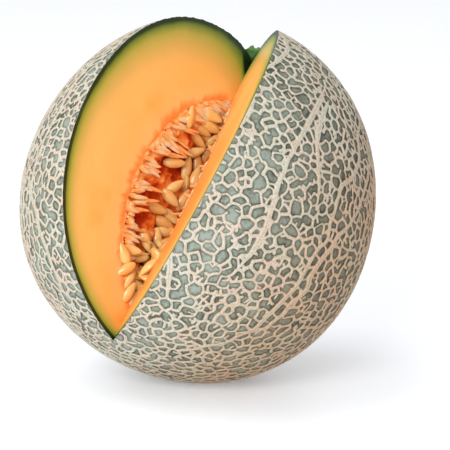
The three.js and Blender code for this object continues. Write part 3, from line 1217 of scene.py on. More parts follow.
    def build(self, material: bpy.types.Material) -> None:
        """Builds the flesh as one mesh.

        Args:
            material: The flesh's finish.
        """
        bm = bmesh.new()
        for name in ("depth", "near", "tone"):
            bm.verts.layers.float.new(name)
        bm.verts.layers.float_vector.new("streak")
        for face in Face:
            self.grid(bm, self.face_columns, partial(self.on_cut, face))
        self.grid(bm, self.wall_columns, self.on_wall)
        self.grid(bm, self.back_columns, self.on_back)
        weld(bm)
        sharp = math.radians(self.sharp_angle)
        for edge in bm.edges:
            edge.smooth = len(edge.link_faces) == 2 and edge.calc_face_angle() < sharp
        finish_mesh("flesh", bm, [material], "melon_body")


@dataclass(frozen=True)
class WetPulpFinish:
    """Melon pulp: a soft, juicy jelly of torn fibres.

    Its colour is painted dark red where it lies deep, as shade in the hollows, paler on raised
    parts as painted light, and pale at the fibres' tips, partly their own colour and partly a
    painted highlight. Light goes a little way in, and the juice on it gives soft small highlights.
    """

    # From deep red, painted as shade in the hollows, to pale cream at raised parts and tips,
    # painted partly as light.
    tones: tuple[tuple[float, str], ...] = (
        (0.0, "b83c0e"),
        (0.35, "f4893a"),
        (0.7, "ffc07a"),
        (1.0, "ffe6c0"),
    )
    tone_span: tuple[float, float] = (0.25, 1.25)
    lump_share: float = 0.5
    lump_size_mm: float = 2.6
    lump_depth_mm: float = 0.5
    scatter_depth_mm: float = 0.8

    def material(self) -> bpy.types.Material:
        """Makes the finish of the pulp and its fibres.

        Returns:
            The material. It reads the attribute rise, from 0 deep down to 1 at the tips.
        """
        made = new_material("juicy_melon_pulp")
        place = add_node(made, "TexCoord", output="Object")
        rise = add_node(made, "Attribute", output="Fac", attribute_name="rise")
        pattern = {"Vector": place, "Scale": 1 / (self.lump_size_mm * MM), "Detail": 3.0}
        lumps = add_node(made, "TexNoise", pattern)
        uneven = {0: lumps, 1: self.lump_share, 2: rise}
        tone = add_node(made, "Math", uneven, operation="MULTIPLY_ADD")
        share = add_node(made, "MapRange", {"Value": tone, **span(self.tone_span)})
        relief = {"Height": lumps, "Strength": 0.4, "Distance": self.lump_depth_mm * MM}
        surface = {
            "Base Color": add_node(made, "ValToRGB", {"Fac": share}, ramp=self.tones),
            "Roughness": 0.28,
            "IOR": 1.36,
            "Specular IOR Level": 0.14,
            "Subsurface Weight": 0.4,
            "Subsurface Radius": (1.0, 0.5, 0.2),
            "Subsurface Scale": self.scatter_depth_mm * MM,
            "Coat Weight": 0.05,
            "Coat Roughness": 0.08,
            "Normal": add_node(made, "Bump", relief),
        }
        shader = add_node(made, "BsdfPrincipled", surface, subsurface_method="RANDOM_WALK")
        add_node(made, "OutputMaterial", {"Surface": shader})
        return made


@dataclass(frozen=True)
class WetSeedFinish:
    """Melon seeds: smooth cream-coloured husks under a film of orange juice."""

    husk: str = "edcb84"
    husk_deep: str = "dca458"
    # Painted shade along the seeds' edges.
    rim: str = "c8843c"
    patch_size_mm: float = 7.0
    patch_span: tuple[float, float] = (0.35, 0.75)
    scatter_depth_mm: float = 1.0

    def material(self) -> bpy.types.Material:
        """Makes the finish of the seeds.

        Returns:
            The material. It reads the attributes rim, painted shade that is highest along a seed's
            edge, and sunk, which is how deep the seed lies in the pulp.
        """
        made = new_material("wet_melon_seed_husk")
        place = add_node(made, "TexCoord", output="Object")
        rim, sunk = (
            add_node(made, "Attribute", output="Fac", attribute_name=name)
            for name in ("rim", "sunk")
        )
        pattern = {"Vector": place, "Scale": 1 / (self.patch_size_mm * MM), "Detail": 2.0}
        patches = {"Value": add_node(made, "TexNoise", pattern), **span(self.patch_span)}
        film = {0: add_node(made, "MapRange", patches), 1: sunk}
        film = add_node(made, "Math", film, operation="ADD", use_clamp=True)
        colour = linear(self.husk)
        for share, paint in ((film, self.husk_deep), (rim, self.rim)):
            mixed = {"Factor": share, "A": colour, "B": linear(paint)}
            colour = add_node(made, "Mix", mixed, 2, data_type="RGBA")
        surface = {
            "Base Color": colour,
            "Roughness": 0.25,
            "IOR": 1.4,
            "Subsurface Weight": 0.15,
            "Subsurface Radius": (1.0, 0.6, 0.25),
            "Subsurface Scale": self.scatter_depth_mm * MM,
            "Coat Weight": 0.5,
            "Coat Roughness": 0.1,
        }
        shader = add_node(made, "BsdfPrincipled", surface, subsurface_method="RANDOM_WALK")
        add_node(made, "OutputMaterial", {"Surface": shader})
        return made


@dataclass(frozen=True)
class StemFinish:
    """Melon stem: a fibrous green stalk, painted near black as shade at its foot, paler above as
    light.
    """

    # From near black at the foot, painted shade, to pale green at the top, painted light.
    tones: tuple[tuple[float, str], ...] = ((0.25, "12280a"), (0.6, "2d610e"), (1.0, "527f28"))
    fibre_share: float = 0.5
    fibre_size_mm: float = 0.9
    fibre_depth_mm: float = 0.4

    def material(self) -> bpy.types.Material:
        """Makes the finish of the stem.

        Returns:
            The material. It reads the attribute rise, from 0 at the foot to 1 at the top.
        """
        made = new_material("drying_melon_stalk")
        place = add_node(made, "TexCoord", output="Object")
        rise = add_node(made, "Attribute", output="Fac", attribute_name="rise")
        pattern = {"Vector": place, "Scale": 1 / (self.fibre_size_mm * MM), "Detail": 4.0}
        fibres = add_node(made, "TexNoise", pattern)
        uneven = {0: fibres, 1: self.fibre_share, 2: rise}
        tone = add_node(made, "Math", uneven, operation="MULTIPLY_ADD")
        relief = {"Height": fibres, "Strength": 0.6, "Distance": self.fibre_depth_mm * MM}
        surface = {
            "Base Color": add_node(made, "ValToRGB", {"Fac": tone}, ramp=self.tones),
            "Roughness": 0.6,
            "Normal": add_node(made, "Bump", relief),
        }
        add_node(made, "OutputMaterial", {"Surface": add_node(made, "BsdfPrincipled", surface)})
        return made


@dataclass
class Pulp:
    """The seed mass without its seeds: set back from the cuts, lumpy, with a rounded nose."""

    form: MelonForm
    cavity: Cavity
    gap: float = -0.5
    recess: float = 13.0
    nose_radius: float = 5.0
    columns: int = 170
    rows: int = 250
    back_columns: int = 40
    lump: float = 2.0
    lump_size: float = 7.5
    fine_lump: float = 0.5
    fine_lump_size: float = 2.2
    film: float = 0.25
    shelf_height: float = 3.2
    shelf_width: float = 8.5
    edge_rise: float = 2.2
    edge_width: float = 2.2
    least_recess: float = 0.2
    least_radius: float = 1e-3
    hollow_depth: float = 2.6
    hollow_at: float = 13.5
    hollow_width: float = 3.6
    mound_height: float = 1.6
    ridge_height: float = 0.9
    ridge_pitch: float = 2.3
    narrow_reach: float = 24.0
    narrow_rise: float = 5.0
    flank_length: float = 42.0
    tuft_size: float = 6.0
    tuft_stretch: float = 0.3
    tuft_share: float = 0.5
    shelf_blend: float = 1.1
    calm_on_shelf: float = 0.7
    hollow_size: float = 11.0
    hollow_bias: float = 0.5
    hollow_gain: float = 1.6
    ridge_slant: float = 0.55
    ridge_squeeze: float = 0.12
    # Seeds of the noise for lumps, fine lumps, tufts, hollows and ridges.
    seeds: tuple[float, ...] = (21.0, 33.0, 41.0, 57.0, 63.0)
    # Rise of the colour's layer, which paints raised parts paler and hollows and dips darker as
    # light and shade: plain, by lumps, fine lumps, hollows, narrow ends, the shelf and its ridges.
    rises: tuple[float, ...] = (0.34, 0.4, -0.2, -0.5, 0.25, 0.24, 0.3)

    def half_angle(self) -> float:
        """Returns half of the angle between the two cuts, in radians."""
        return math.radians(Face.RIGHT.value - Face.LEFT.value) / 2

    def middle_turn(self) -> float:
        """Returns the turn of the notch's middle round the knife line, in radians."""
        return math.radians(Face.RIGHT.value + Face.LEFT.value) / 2

    def notch_path(self, share: np.ndarray) -> tuple[np.ndarray, np.ndarray]:
        """Follows the notch's outline, from the left flank round the nose to the right flank.

        Args:
            share: Places along the outline, from 0 to 1.

        Returns:
            Points across the knife line, and the unit normals into the notch.
        """
        half = self.half_angle()
        turned = math.pi / 2 - half
        arc = 2 * self.nose_radius * turned
        along = (share - 0.5) * (2 * self.flank_length + arc)
        bend = np.clip(along / self.nose_radius, -turned, turned)
        past = np.sign(along) * np.maximum(0, np.abs(along) - arc / 2)
        centre = -self.recess + self.nose_radius / math.sin(half)
        out = centre - self.nose_radius * np.cos(bend) + np.abs(past) * math.sin(turned)
        side = self.nose_radius * np.sin(bend) + past * math.cos(turned)
        normal = np.stack([np.cos(bend), -np.sin(bend)], axis=1)
        turn = self.middle_turn()
        axes = np.array([[math.cos(turn), math.sin(turn)], [-math.sin(turn), math.cos(turn)]])
        return np.stack([out, side], axis=1) @ axes, normal @ axes

    def heights(self, share: np.ndarray) -> np.ndarray:
        """Places along the knife line, closer together towards the cavity's ends.

        Args:
            share: Shares of the way from the blossom end of the cavity to its stem end.

        Returns:
            One place a share, in millimetres.
        """
        low = self.cavity.middle - self.cavity.to_blossom + 3 * self.gap
        high = self.cavity.middle + self.cavity.to_stem - 3 * self.gap
        return low + (high - low) * (1 - np.cos(math.pi * share)) / 2

    def front(self, flat: np.ndarray) -> tuple[np.ndarray, np.ndarray, np.ndarray]:
        """Shapes the surface that shows in the notch.

        Args:
            flat: Grid places from -1 to 1, across and along the knife line.

        Returns:
            Points in the knife line's frame, outward normals, and rises from 0 to 1.
        """
        coarse_seed, fine_seed, tuft_seed, hollow_seed, ridge_seed = self.seeds
        plain, by_coarse, by_fine, by_hollow, by_narrow, by_shelf, by_ridges = self.rises
        height = self.heights((flat[:, 1] + 1) / 2)
        across, normal = self.notch_path((flat[:, 0] + 1) / 2)
        bare = np.column_stack([across, height])
        coarse = seeded_noise(bare, self.lump_size, coarse_seed)
        fine = np.abs(seeded_noise(bare, self.fine_lump_size, fine_seed, 2))
        turn = np.arctan2(across[:, 1], across[:, 0])
        shore = self.cavity.reach(height, turn, self.gap) - np.hypot(across[:, 0], across[:, 1])
        stretched = np.column_stack([height, 0 * height, shore * self.tuft_stretch])
        tufts = seeded_noise(stretched, self.tuft_size, tuft_seed, 2)
        edge = self.shelf_width * (1 + self.tuft_share * tufts)
        shelf = 1 / (1 + np.exp((shore - edge) / self.shelf_blend))
        hollow = np.exp(-(((shore - self.hollow_at) / self.hollow_width) ** 2))
        patches = self.hollow_gain * seeded_noise(bare, self.hollow_size, hollow_seed, 2)
        hollow *= np.clip(self.hollow_bias + patches, 0, 1)
        slanted = (height - self.ridge_slant * shore, self.ridge_squeeze * shore, 0 * shore)
        slanted = np.column_stack(slanted)
        ridges = 1 - 2 * np.abs(seeded_noise(slanted, self.ridge_pitch, ridge_seed, 1))
        narrow = np.clip(1 - self.cavity.reach(height, turn, self.gap) / self.narrow_reach, 0, 1)
        push = self.lump * coarse * (1 - self.calm_on_shelf * shelf)
        push += self.fine_lump * (1 - 2 * fine)
        push += shelf * (self.shelf_height + self.ridge_height * ridges)
        push += self.mound_height * (1 - shelf) - self.hollow_depth * hollow
        push += self.narrow_rise * narrow * (1 - shelf)
        push += self.edge_rise * np.exp(-((shore / self.edge_width) ** 2))
        push = np.minimum(push, self.recess * math.sin(self.half_angle()) - self.least_recess)
        across = across + push[:, None] * normal
        turn = np.arctan2(across[:, 1], across[:, 0])
        limit = self.cavity.reach(height, turn, self.gap + self.film)
        length = np.hypot(across[:, 0], across[:, 1])
        clipped = np.minimum(1.0, limit / np.maximum(length, TINY))
        across = across * clipped[:, None]
        # Painted light and shade: raised lumps, the narrow ends and the shelf's ridges come out
        # paler, hollows and dips darker.
        rise = plain + by_coarse * coarse * (1 - shelf) + by_fine * fine + by_hollow * hollow
        rise += by_narrow * narrow + shelf * (by_shelf + by_ridges * ridges)
        return np.column_stack([across, height]), normal, rise

    def back(self, flat: np.ndarray) -> np.ndarray:
        """Shapes the surface that lies against the cavity's wall.

        Args:
            flat: Grid places from -1 to 1, across and along the knife line.

        Returns:
            Points in the knife line's frame.
        """
        height = self.heights((flat[:, 1] + 1) / 2)
        ends, _ = self.notch_path(np.array((0.0, 1.0)))
        first, last = (math.atan2(end[1], end[0]) for end in ends)
        turn = first + (flat[:, 0] + 1) / 2 * (last - 2 * math.pi - first)
        limit = self.cavity.reach(height, turn, self.gap)
        return np.column_stack([limit * np.cos(turn), limit * np.sin(turn), height])

    def build(self, material: bpy.types.Material) -> None:
        """Builds the pulp as one closed mesh.

        Args:
            material: The pulp's finish.
        """
        bm = bmesh.new()
        bm.verts.layers.float.new("rise")
        verts, flat = add_grid(bm, self.columns, self.rows)
        points, _, rise = self.front(flat)
        sides = np.abs(flat[:, 0]) > 1 - ON_SIDE
        length = np.maximum(self.least_radius, np.hypot(points[sides, 0], points[sides, 1]))
        points[sides, :2] *= 1 + self.film / length[:, None]
        shape_grid(bm, verts, self.form.knife_to_world(points) * MM, {"rise": rise})
        front = grid_sides(verts, flat)
        verts, flat = add_grid(bm, self.back_columns, self.rows)
        shape_grid(bm, verts, self.form.knife_to_world(self.back(flat)) * MM, {})
        for one, other in zip(front, grid_sides(verts, flat)):
            bmesh.ops.bridge_loops(bm, edges=one + other)
        weld(bm)
        finish_mesh("pulp", bm, [material], "seed_mass")


@dataclass
class SeedHeap:
    """Seeds on the pulp: those that show in the main view, and scattered ones elsewhere.

    A seed is a flattened ball that narrows towards one end and runs out in a slim rim.
    """

    form: MelonForm
    pulp: Pulp
    stage: "Stage"
    length: float = 10.5
    width: float = 5.1
    thickness: float = 3.2
    narrowing: float = 0.36
    narrow_from: float = 0.12
    narrow_power: float = 1.3
    rim_thinning: float = 0.25
    rim_from: float = 0.93
    rim_strength: float = 0.7
    size_spread: float = 0.04
    most_scattered: int = 70
    scattered_sizes: tuple[float, float] = (0.9, 1.06)
    scattered_depths: tuple[float, float] = (0.1, 0.7)
    scattered_roll: float = 35.0
    scattered_below: float = 246.0
    clearance: float = 5.2
    edge_room: float = 2.5
    turned_out: float = 0.75
    raised_end: float = 0.3
    rest_height: float = 0.5
    sinking: float = 0.75
    least_facing: float = 0.05
    steepest: float = 0.15
    spots: int = 161
    seed: int = 17
    # Each shown seed: its middle in the picture in pixels, the turn of its long axis there and
    # its roll about that axis in degrees, and how far it is sunk, from 0 to 1.
    shown: tuple[tuple[float, float, float, float, float], ...] = (
        (189.0, 116.5, 80.0, 15.0, 0.1),
        (209.8, 117.0, -30.0, 0.0, 0.2),
        (207.5, 127.5, -30.0, 20.0, 0.5),
        (199.5, 131.5, -28.0, 40.0, 0.8),
        (205.0, 139.0, -35.0, 50.0, 0.7),
        (197.0, 140.5, -50.0, 65.0, 0.8),
        (213.9, 141.0, 38.0, 60.0, 0.2),
        (208.7, 153.5, 52.0, 45.0, 0.2),
        (192.6, 152.7, 17.0, 10.0, 0.1),
        (172.5, 163.6, -4.0, 5.0, 0.25),
        (184.0, 167.0, 76.0, -5.0, 0.1),
        (196.0, 165.3, 90.0, 0.0, 0.2),
        (194.3, 178.0, 70.0, 5.0, 0.2),
        (173.0, 186.0, 33.0, 0.0, 0.1),
        (184.6, 185.5, 80.0, 75.0, 0.4),
        (180.6, 199.8, 60.0, 10.0, 0.1),
        (167.4, 199.8, -48.0, 30.0, 0.3),
        (153.6, 209.0, -22.0, 20.0, 0.7),
        (168.5, 218.7, -42.0, 15.0, 0.3),
        (161.6, 223.9, -30.0, 20.0, 0.6),
        (163.4, 232.5, -8.0, 40.0, 0.3),
        (155.9, 240.0, 86.0, 0.0, 0.1),
        (143.8, 241.0, -74.0, 10.0, 0.15),
    )

    def one_seed(self, bm: bmesh.types.BMesh, place: Matrix, size: float, sunk: float) -> None:
        """Adds one teardrop seed with a slim edge.

        Args:
            bm: Mesh that takes it, with the layers rim and sunk.
            place: Its placement in millimetres, long axis along X and flat side to Z.
            size: Its size against the usual one.
            sunk: How deep it lies in the pulp, from 0 to 1.
        """
        made = bmesh.ops.create_uvsphere(bm, u_segments=16, v_segments=10, radius=0.5)
        rim, low = bm.verts.layers.float["rim"], bm.verts.layers.float["sunk"]
        for vert in made["verts"]:
            along, side, up = vert.co.z, vert.co.x, vert.co.y
            edge = abs(side) / max(TINY, math.hypot(side, up))
            past = max(0.0, along + self.narrow_from) / (0.5 + self.narrow_from)
            narrow = 1 - self.narrowing * past**self.narrow_power
            thick = self.thickness * narrow * (1 - self.rim_thinning * edge**3)
            spot = Vector((along * self.length, side * self.width * narrow, up * thick))
            vert.co = place @ (spot * size) * MM
            # Painted shade along the seed's edge.
            vert[rim] = max(0.0, edge - self.rim_from) / (1 - self.rim_from) * self.rim_strength
            vert[low] = sunk

    def build(self, material: bpy.types.Material) -> None:
        """Builds all seeds as one mesh.

        Args:
            material: The seeds' finish.
        """
        rng = random.Random(self.seed)
        share = np.linspace(-1, 1, self.spots)
        flat = np.array([(x, y) for y in share for x in share])
        points, normals, _ = self.pulp.front(flat)
        turn = np.arctan2(points[:, 1], points[:, 0])
        room = self.pulp.cavity.reach(points[:, 2], turn, self.pulp.gap)
        room = room - np.hypot(points[:, 0], points[:, 1])
        points = self.form.knife_to_world(points)
        normals = np.column_stack([normals, np.zeros(len(flat))])
        normals = normals @ np.array(self.form.knife_axes()).T
        seen = self.stage.to_picture(points)
        facing = normals @ np.array(self.stage.toward_camera()) > self.least_facing
        taken: list[Vector] = []
        bm = bmesh.new()
        bm.verts.layers.float.new("rim")
        bm.verts.layers.float.new("sunk")
        for x, y, slant, roll, sunk in self.shown:
            away = np.where(facing, np.hypot(seen[:, 0] - x, seen[:, 1] - y), math.inf)
            at = int(np.argmin(away))
            place = self.placement(points[at], normals[at], slant, roll, sunk)
            taken.append(Vector(points[at]))
            size = rng.uniform(1 - self.size_spread, 1 + self.size_spread)
            self.one_seed(bm, place, size, sunk)
        order = list(range(len(flat)))
        rng.shuffle(order)
        for at in order:
            if len(taken) >= len(self.shown) + self.most_scattered:
                break
            spot = Vector(points[at])
            near_shown = facing[at] and seen[at, 1] < self.scattered_below
            crowded = any((spot - other).length < self.clearance for other in taken)
            if room[at] < self.edge_room or near_shown or crowded:
                continue
            taken.append(spot)
            sunk = rng.uniform(*self.scattered_depths)
            slant = rng.uniform(0, 360)
            roll = rng.uniform(-self.scattered_roll, self.scattered_roll)
            place = self.placement(points[at], normals[at], slant, roll, sunk)
            self.one_seed(bm, place, rng.uniform(*self.scattered_sizes), sunk)
        bmesh.ops.recalc_face_normals(bm, faces=bm.faces)
        finish_mesh("seeds", bm, [material], "seed_mass")

    def placement(
        self, spot: np.ndarray, normal: np.ndarray, slant: float, roll: float, sunk: float
    ) -> Matrix:
        """Lays a seed on the pulp so that it has a wanted slant in the picture.

        Args:
            spot: Place on the pulp, in millimetres.
            normal: The pulp's normal there.
            slant: Turn of the long axis in the picture, in degrees.
            roll: Roll about the long axis, in degrees.
            sunk: How far the seed is sunk, from 0 to 1.

        Returns:
            The placement in millimetres.
        """
        up = Vector(normal)
        toward = self.stage.toward_camera()
        wanted = self.stage.picture_direction(slant)
        facing = up.dot(toward)
        flat = wanted
        if abs(facing) > self.steepest:
            flat = wanted - toward * (wanted.dot(up) / facing)
        along = (flat.normalized() * (1 - self.turned_out) + wanted * self.turned_out).normalized()
        up = (up + toward * self.turned_out * max(0.0, facing)).normalized()
        up = (up - along * up.dot(along)).normalized()
        frame = Matrix([along, up.cross(along), up]).transposed()
        turned = frame @ Matrix.Rotation(math.radians(roll), 3, "X")
        lift = self.thickness * (self.rest_height - self.sinking * sunk)
        lift += self.raised_end * self.length * abs(along.dot(Vector(normal)))
        return Matrix.Translation(Vector(spot) + up * lift) @ turned.to_4x4()


@dataclass
class Ribbons:
    """Soft fibres that hang from the cavity's edge over the seeds, in tufts."""

    form: MelonForm
    cavity: Cavity
    length: float = 13.0
    length_spread: tuple[float, float] = (0.75, 1.3)
    fibre_reach: tuple[float, float] = (0.4, 0.95)
    width: float = 1.4
    width_spread: tuple[float, float] = (0.7, 1.35)
    thickness: float = 1.1
    swell: float = 1.5
    tip_taper: float = 0.3
    root_depth: float = 1.2
    curl: float = 1.2
    droop: float = 0.8
    droop_spread: tuple[float, float] = (0.2, 1.6)
    # The fibres pale towards their tips: partly their own thinner, paler ends, partly a painted
    # highlight.
    pale_from: float = 0.38
    pale_spread: tuple[float, float] = (0.4, 1.0)
    tuft_pitch: float = 4.9
    tuft_scatter: float = 0.3
    tuft_width: float = 0.55
    tuft_fibres: tuple[int, int] = (4, 8)
    tip_width: float = 0.4
    to_stem: float = 27.0
    to_stem_spread: tuple[float, float] = (-14, 12)
    dip: float = 3.0
    dip_spread: tuple[float, float] = (0.2, 1.8)
    depths: tuple[float, ...] = (-0.7, -0.3, 0.1, 0.5, 1.0)
    fibre_pale: float = 2.2
    deeper_at_right: float = 1.6
    inset: float = 0.32
    set_in: float = 0.8
    strands: int = 2
    strand_depths: tuple[float, float] = (1.8, 3.6)
    strand_stretch: float = 1.65
    strand_pale: float = 0.4
    least_radius: float = 5.0
    from_blossom_end: float = 5.0
    from_stem_end: float = 3.0
    seed: int = 23

    def one_ribbon(
        self,
        bm: bmesh.types.BMesh,
        root: Vector,
        way: Vector,
        along: Vector,
        pale: float,
        rng: random.Random,
    ) -> None:
        """Adds one tapered, bent fibre.

        Args:
            bm: Mesh that takes it, with the layer rise.
            root: Its root in millimetres.
            way: From its root to its tip.
            along: Direction of the knife line, across which it is broad.
            pale: How fast it turns pale towards the tip.
            rng: Seeded random source.
        """
        length, aim = way.length, way.normalized()
        wide = (along - aim * along.dot(aim)).normalized()
        layer = bm.verts.layers.float["rise"]
        made = bmesh.ops.create_uvsphere(bm, u_segments=8, v_segments=12, radius=0.5)
        width = self.width * rng.uniform(*self.width_spread)
        thick = aim.cross(wide).normalized()
        curl = rng.uniform(-self.curl, self.curl)
        sag = self.droop * rng.uniform(*self.droop_spread)
        for vert in made["verts"]:
            share = vert.co.z + 0.5
            taper = self.swell * (1 - self.tip_taper * share)
            vert.co = (
                root
                + aim * (share * length - self.root_depth)
                + wide * (vert.co.x * width * taper + curl * share**2)
                + thick * (vert.co.y * self.thickness * taper)
                + Vector((0, 0, -sag)) * share**2
            ) * MM
            # Paler towards the tip: partly the fibre's own colour, partly a painted highlight.
            vert[layer] = min(1.0, self.pale_from + pale * share)

    def tuft(self, bm: bmesh.types.BMesh, face: Face, height: float, rng: random.Random) -> None:
        """Adds one tuft, whose fibres run together towards one tip.

        Args:
            bm: Mesh that takes it, with the layer rise.
            face: The cut from whose edge it hangs.
            height: Its middle along the knife line.
            rng: Seeded random source.
        """
        turn = math.radians(face.value)
        into = 1 if face is Face.LEFT else -1
        across = Vector((math.cos(turn), math.sin(turn), 0))
        normal = Vector((-math.sin(turn), math.cos(turn), 0)) * into
        axes = self.form.knife_axes()
        slope = math.radians(self.to_stem + rng.uniform(*self.to_stem_spread))
        dip = math.radians(self.dip * rng.uniform(*self.dip_spread))
        aim = (Vector((0, 0, math.sin(slope))) - across * math.cos(slope)) * math.cos(dip)
        aim -= normal * math.sin(dip)
        reach = self.length * rng.uniform(*self.length_spread)
        radius = float(self.cavity.reach(np.array([height]), np.array([turn]))[0])
        tip = across * radius + Vector((0, 0, height)) + aim * reach
        lower = self.deeper_at_right if face is Face.RIGHT else 0
        count = rng.randint(*self.tuft_fibres)
        fibres = [(rng.choice(self.depths), 1.0, self.fibre_pale) for _ in range(count)]
        for _ in range(self.strands):
            depth = rng.uniform(*self.strand_depths)
            fibres.append((depth, self.strand_stretch, self.strand_pale))
        for depth, stretch, pale in fibres:
            aside = rng.uniform(-self.tuft_width, self.tuft_width) * self.tuft_pitch
            at = np.array([height + aside])
            radius = float(self.cavity.reach(at, np.array([turn]))[0])
            if radius < self.least_radius:
                continue
            root = across * (radius - self.set_in) - normal * (depth + lower)
            root += Vector((0, 0, height + aside))
            way = tip + Vector((0, 0, self.tip_width * aside)) - root
            root += way * rng.uniform(0, self.inset)
            way = axes @ way * rng.uniform(*self.fibre_reach) * stretch
            spot = Vector(self.form.knife_to_world(np.array([root]))[0])
            pale *= rng.uniform(*self.pale_spread)
            self.one_ribbon(bm, spot, way, axes @ Vector((0, 0, 1)), pale, rng)

    def build(self, material: bpy.types.Material) -> None:
        """Builds the fibres along both edges as one mesh.

        Args:
            material: The pulp's finish.
        """
        rng = random.Random(self.seed)
        bm = bmesh.new()
        bm.verts.layers.float.new("rise")
        low = self.cavity.middle - self.cavity.to_blossom + self.from_blossom_end
        high = self.cavity.middle + self.cavity.to_stem - self.from_stem_end
        count = round((high - low) / self.tuft_pitch)
        for face in Face:
            for i in range(count + 1):
                aside = rng.uniform(-self.tuft_scatter, self.tuft_scatter)
                self.tuft(bm, face, low + (high - low) * (i + aside) / count, rng)
        bmesh.ops.recalc_face_normals(bm, faces=bm.faces)
        finish_mesh("fibres", bm, [material], "seed_mass")


@dataclass
class StemStub:
    """The short stub of the stem, cut by the same two cuts, with one torn horn."""

    form: MelonForm
    height: float = 7.6
    outline: tuple[tuple[float, float], ...] = (
        (0.0, 0.0),
        (7.0, 0.0),
        (6.8, 1.6),
        (5.2, 2.8),
        (4.0, 4.6),
        (3.1, 6.6),
        (2.2, 7.6),
        (0.0, 7.0),
    )
    net_height: float = 1.0
    horn_length: float = 9.5
    horn_width: float = 4.08
    horn_taper: float = 0.7
    horn_rise: float = 12.0
    horn_curl: float = 1.6
    horn_from: float = 0.7
    horn_foot_tone: float = 0.35
    ribs: int = 9
    rib_height: float = 0.35
    plain_foot: float = 3.0
    plain_radius: float = 2.0
    torn_from: float = 0.8
    torn_depth: float = 0.7
    torn_size: float = 2.2
    steps: int = 64
    seam: float = 0.01

    def placement(self) -> Matrix:
        """Stands the stub on the dimple's floor.

        Returns:
            The placement of the stub's frame in the world, in millimetres.
        """
        out = Vector(self.form.stem_point())
        floor = float(self.form.outer_radius(np.array([out]))[0]) - self.net_height
        onto = Vector((0, 0, 1)).rotation_difference(out).to_matrix().to_4x4()
        return self.form.world_matrix() @ Matrix.Translation(out * floor) @ onto

    def build(self, material: bpy.types.Material) -> None:
        """Builds the stub.

        Args:
            material: The stem's finish.
        """
        bm = bmesh.new()
        layer = bm.verts.layers.float.new("rise")
        outline = [bm.verts.new((radius, 0, rise)) for radius, rise in self.outline]
        edges = [bm.edges.new(pair) for pair in zip(outline, outline[1:])]
        bmesh.ops.subdivide_edges(bm, edges=edges, cuts=3)
        first, last = cut_turns()
        bmesh.ops.rotate(bm, verts=bm.verts, cent=(0, 0, 0), matrix=Matrix.Rotation(first, 3, "Z"))
        bmesh.ops.spin(
            bm,
            geom=bm.verts[:] + bm.edges[:],
            cent=(0, 0, 0),
            axis=(0, 0, 1),
            angle=last - first,
            steps=self.steps,
            use_merge=False,
        )
        bmesh.ops.remove_doubles(bm, verts=bm.verts, dist=self.seam)
        border = [e for e in bm.edges if e.is_boundary]
        bmesh.ops.holes_fill(bm, edges=border, sides=0)
        bmesh.ops.triangulate(bm, faces=[f for f in bm.faces if len(f.verts) > 4])
        for vert in bm.verts:
            radius = math.hypot(vert.co.x, vert.co.y)
            turn = math.atan2(vert.co.y, vert.co.x)
            held = min(1.0, vert.co.z / self.plain_foot) * min(1.0, radius / self.plain_radius)
            rib = 1 + self.rib_height * held * math.sin(self.ribs * turn) / max(radius, 1.0)
            torn = 0.0
            if vert.co.z > self.torn_from * self.height:
                torn = self.torn_depth * held * noise.noise(vert.co / self.torn_size)
            # Painted light and shade: the colour rises from the foot to the top.
            vert[layer] = min(1.0, max(0.0, vert.co.z / self.height))
            vert.co = Vector((vert.co.x * rib, vert.co.y * rib, vert.co.z + torn))
        made = bmesh.ops.create_uvsphere(bm, u_segments=14, v_segments=14, radius=0.5)
        climb = math.radians(self.horn_rise)
        aim = Vector((math.cos(climb), 0, math.sin(climb)))
        side = aim.cross(Vector((0, 0, 1))).normalized()
        over = side.cross(aim)
        for vert in made["verts"]:
            share = vert.co.z + 0.5
            thick = self.horn_width * (1 - share) ** self.horn_taper
            vert.co = (
                Vector((0, 0, self.height * self.horn_from))
                + aim * share * self.horn_length
                + (side * vert.co.x + over * vert.co.y) * thick
                + Vector((0, 0, self.horn_curl)) * share**2
            )
            # The horn too is painted dark at its foot and paler towards its tip, as shade and
            # light.
            vert[layer] = self.horn_foot_tone + (1 - self.horn_foot_tone) * share**3
        bmesh.ops.transform(bm, matrix=Matrix.Scale(MM, 4) @ self.placement(), verts=bm.verts)
        bmesh.ops.recalc_face_normals(bm, faces=bm.faces)
        finish_mesh("stem", bm, [material], "stem_stub")


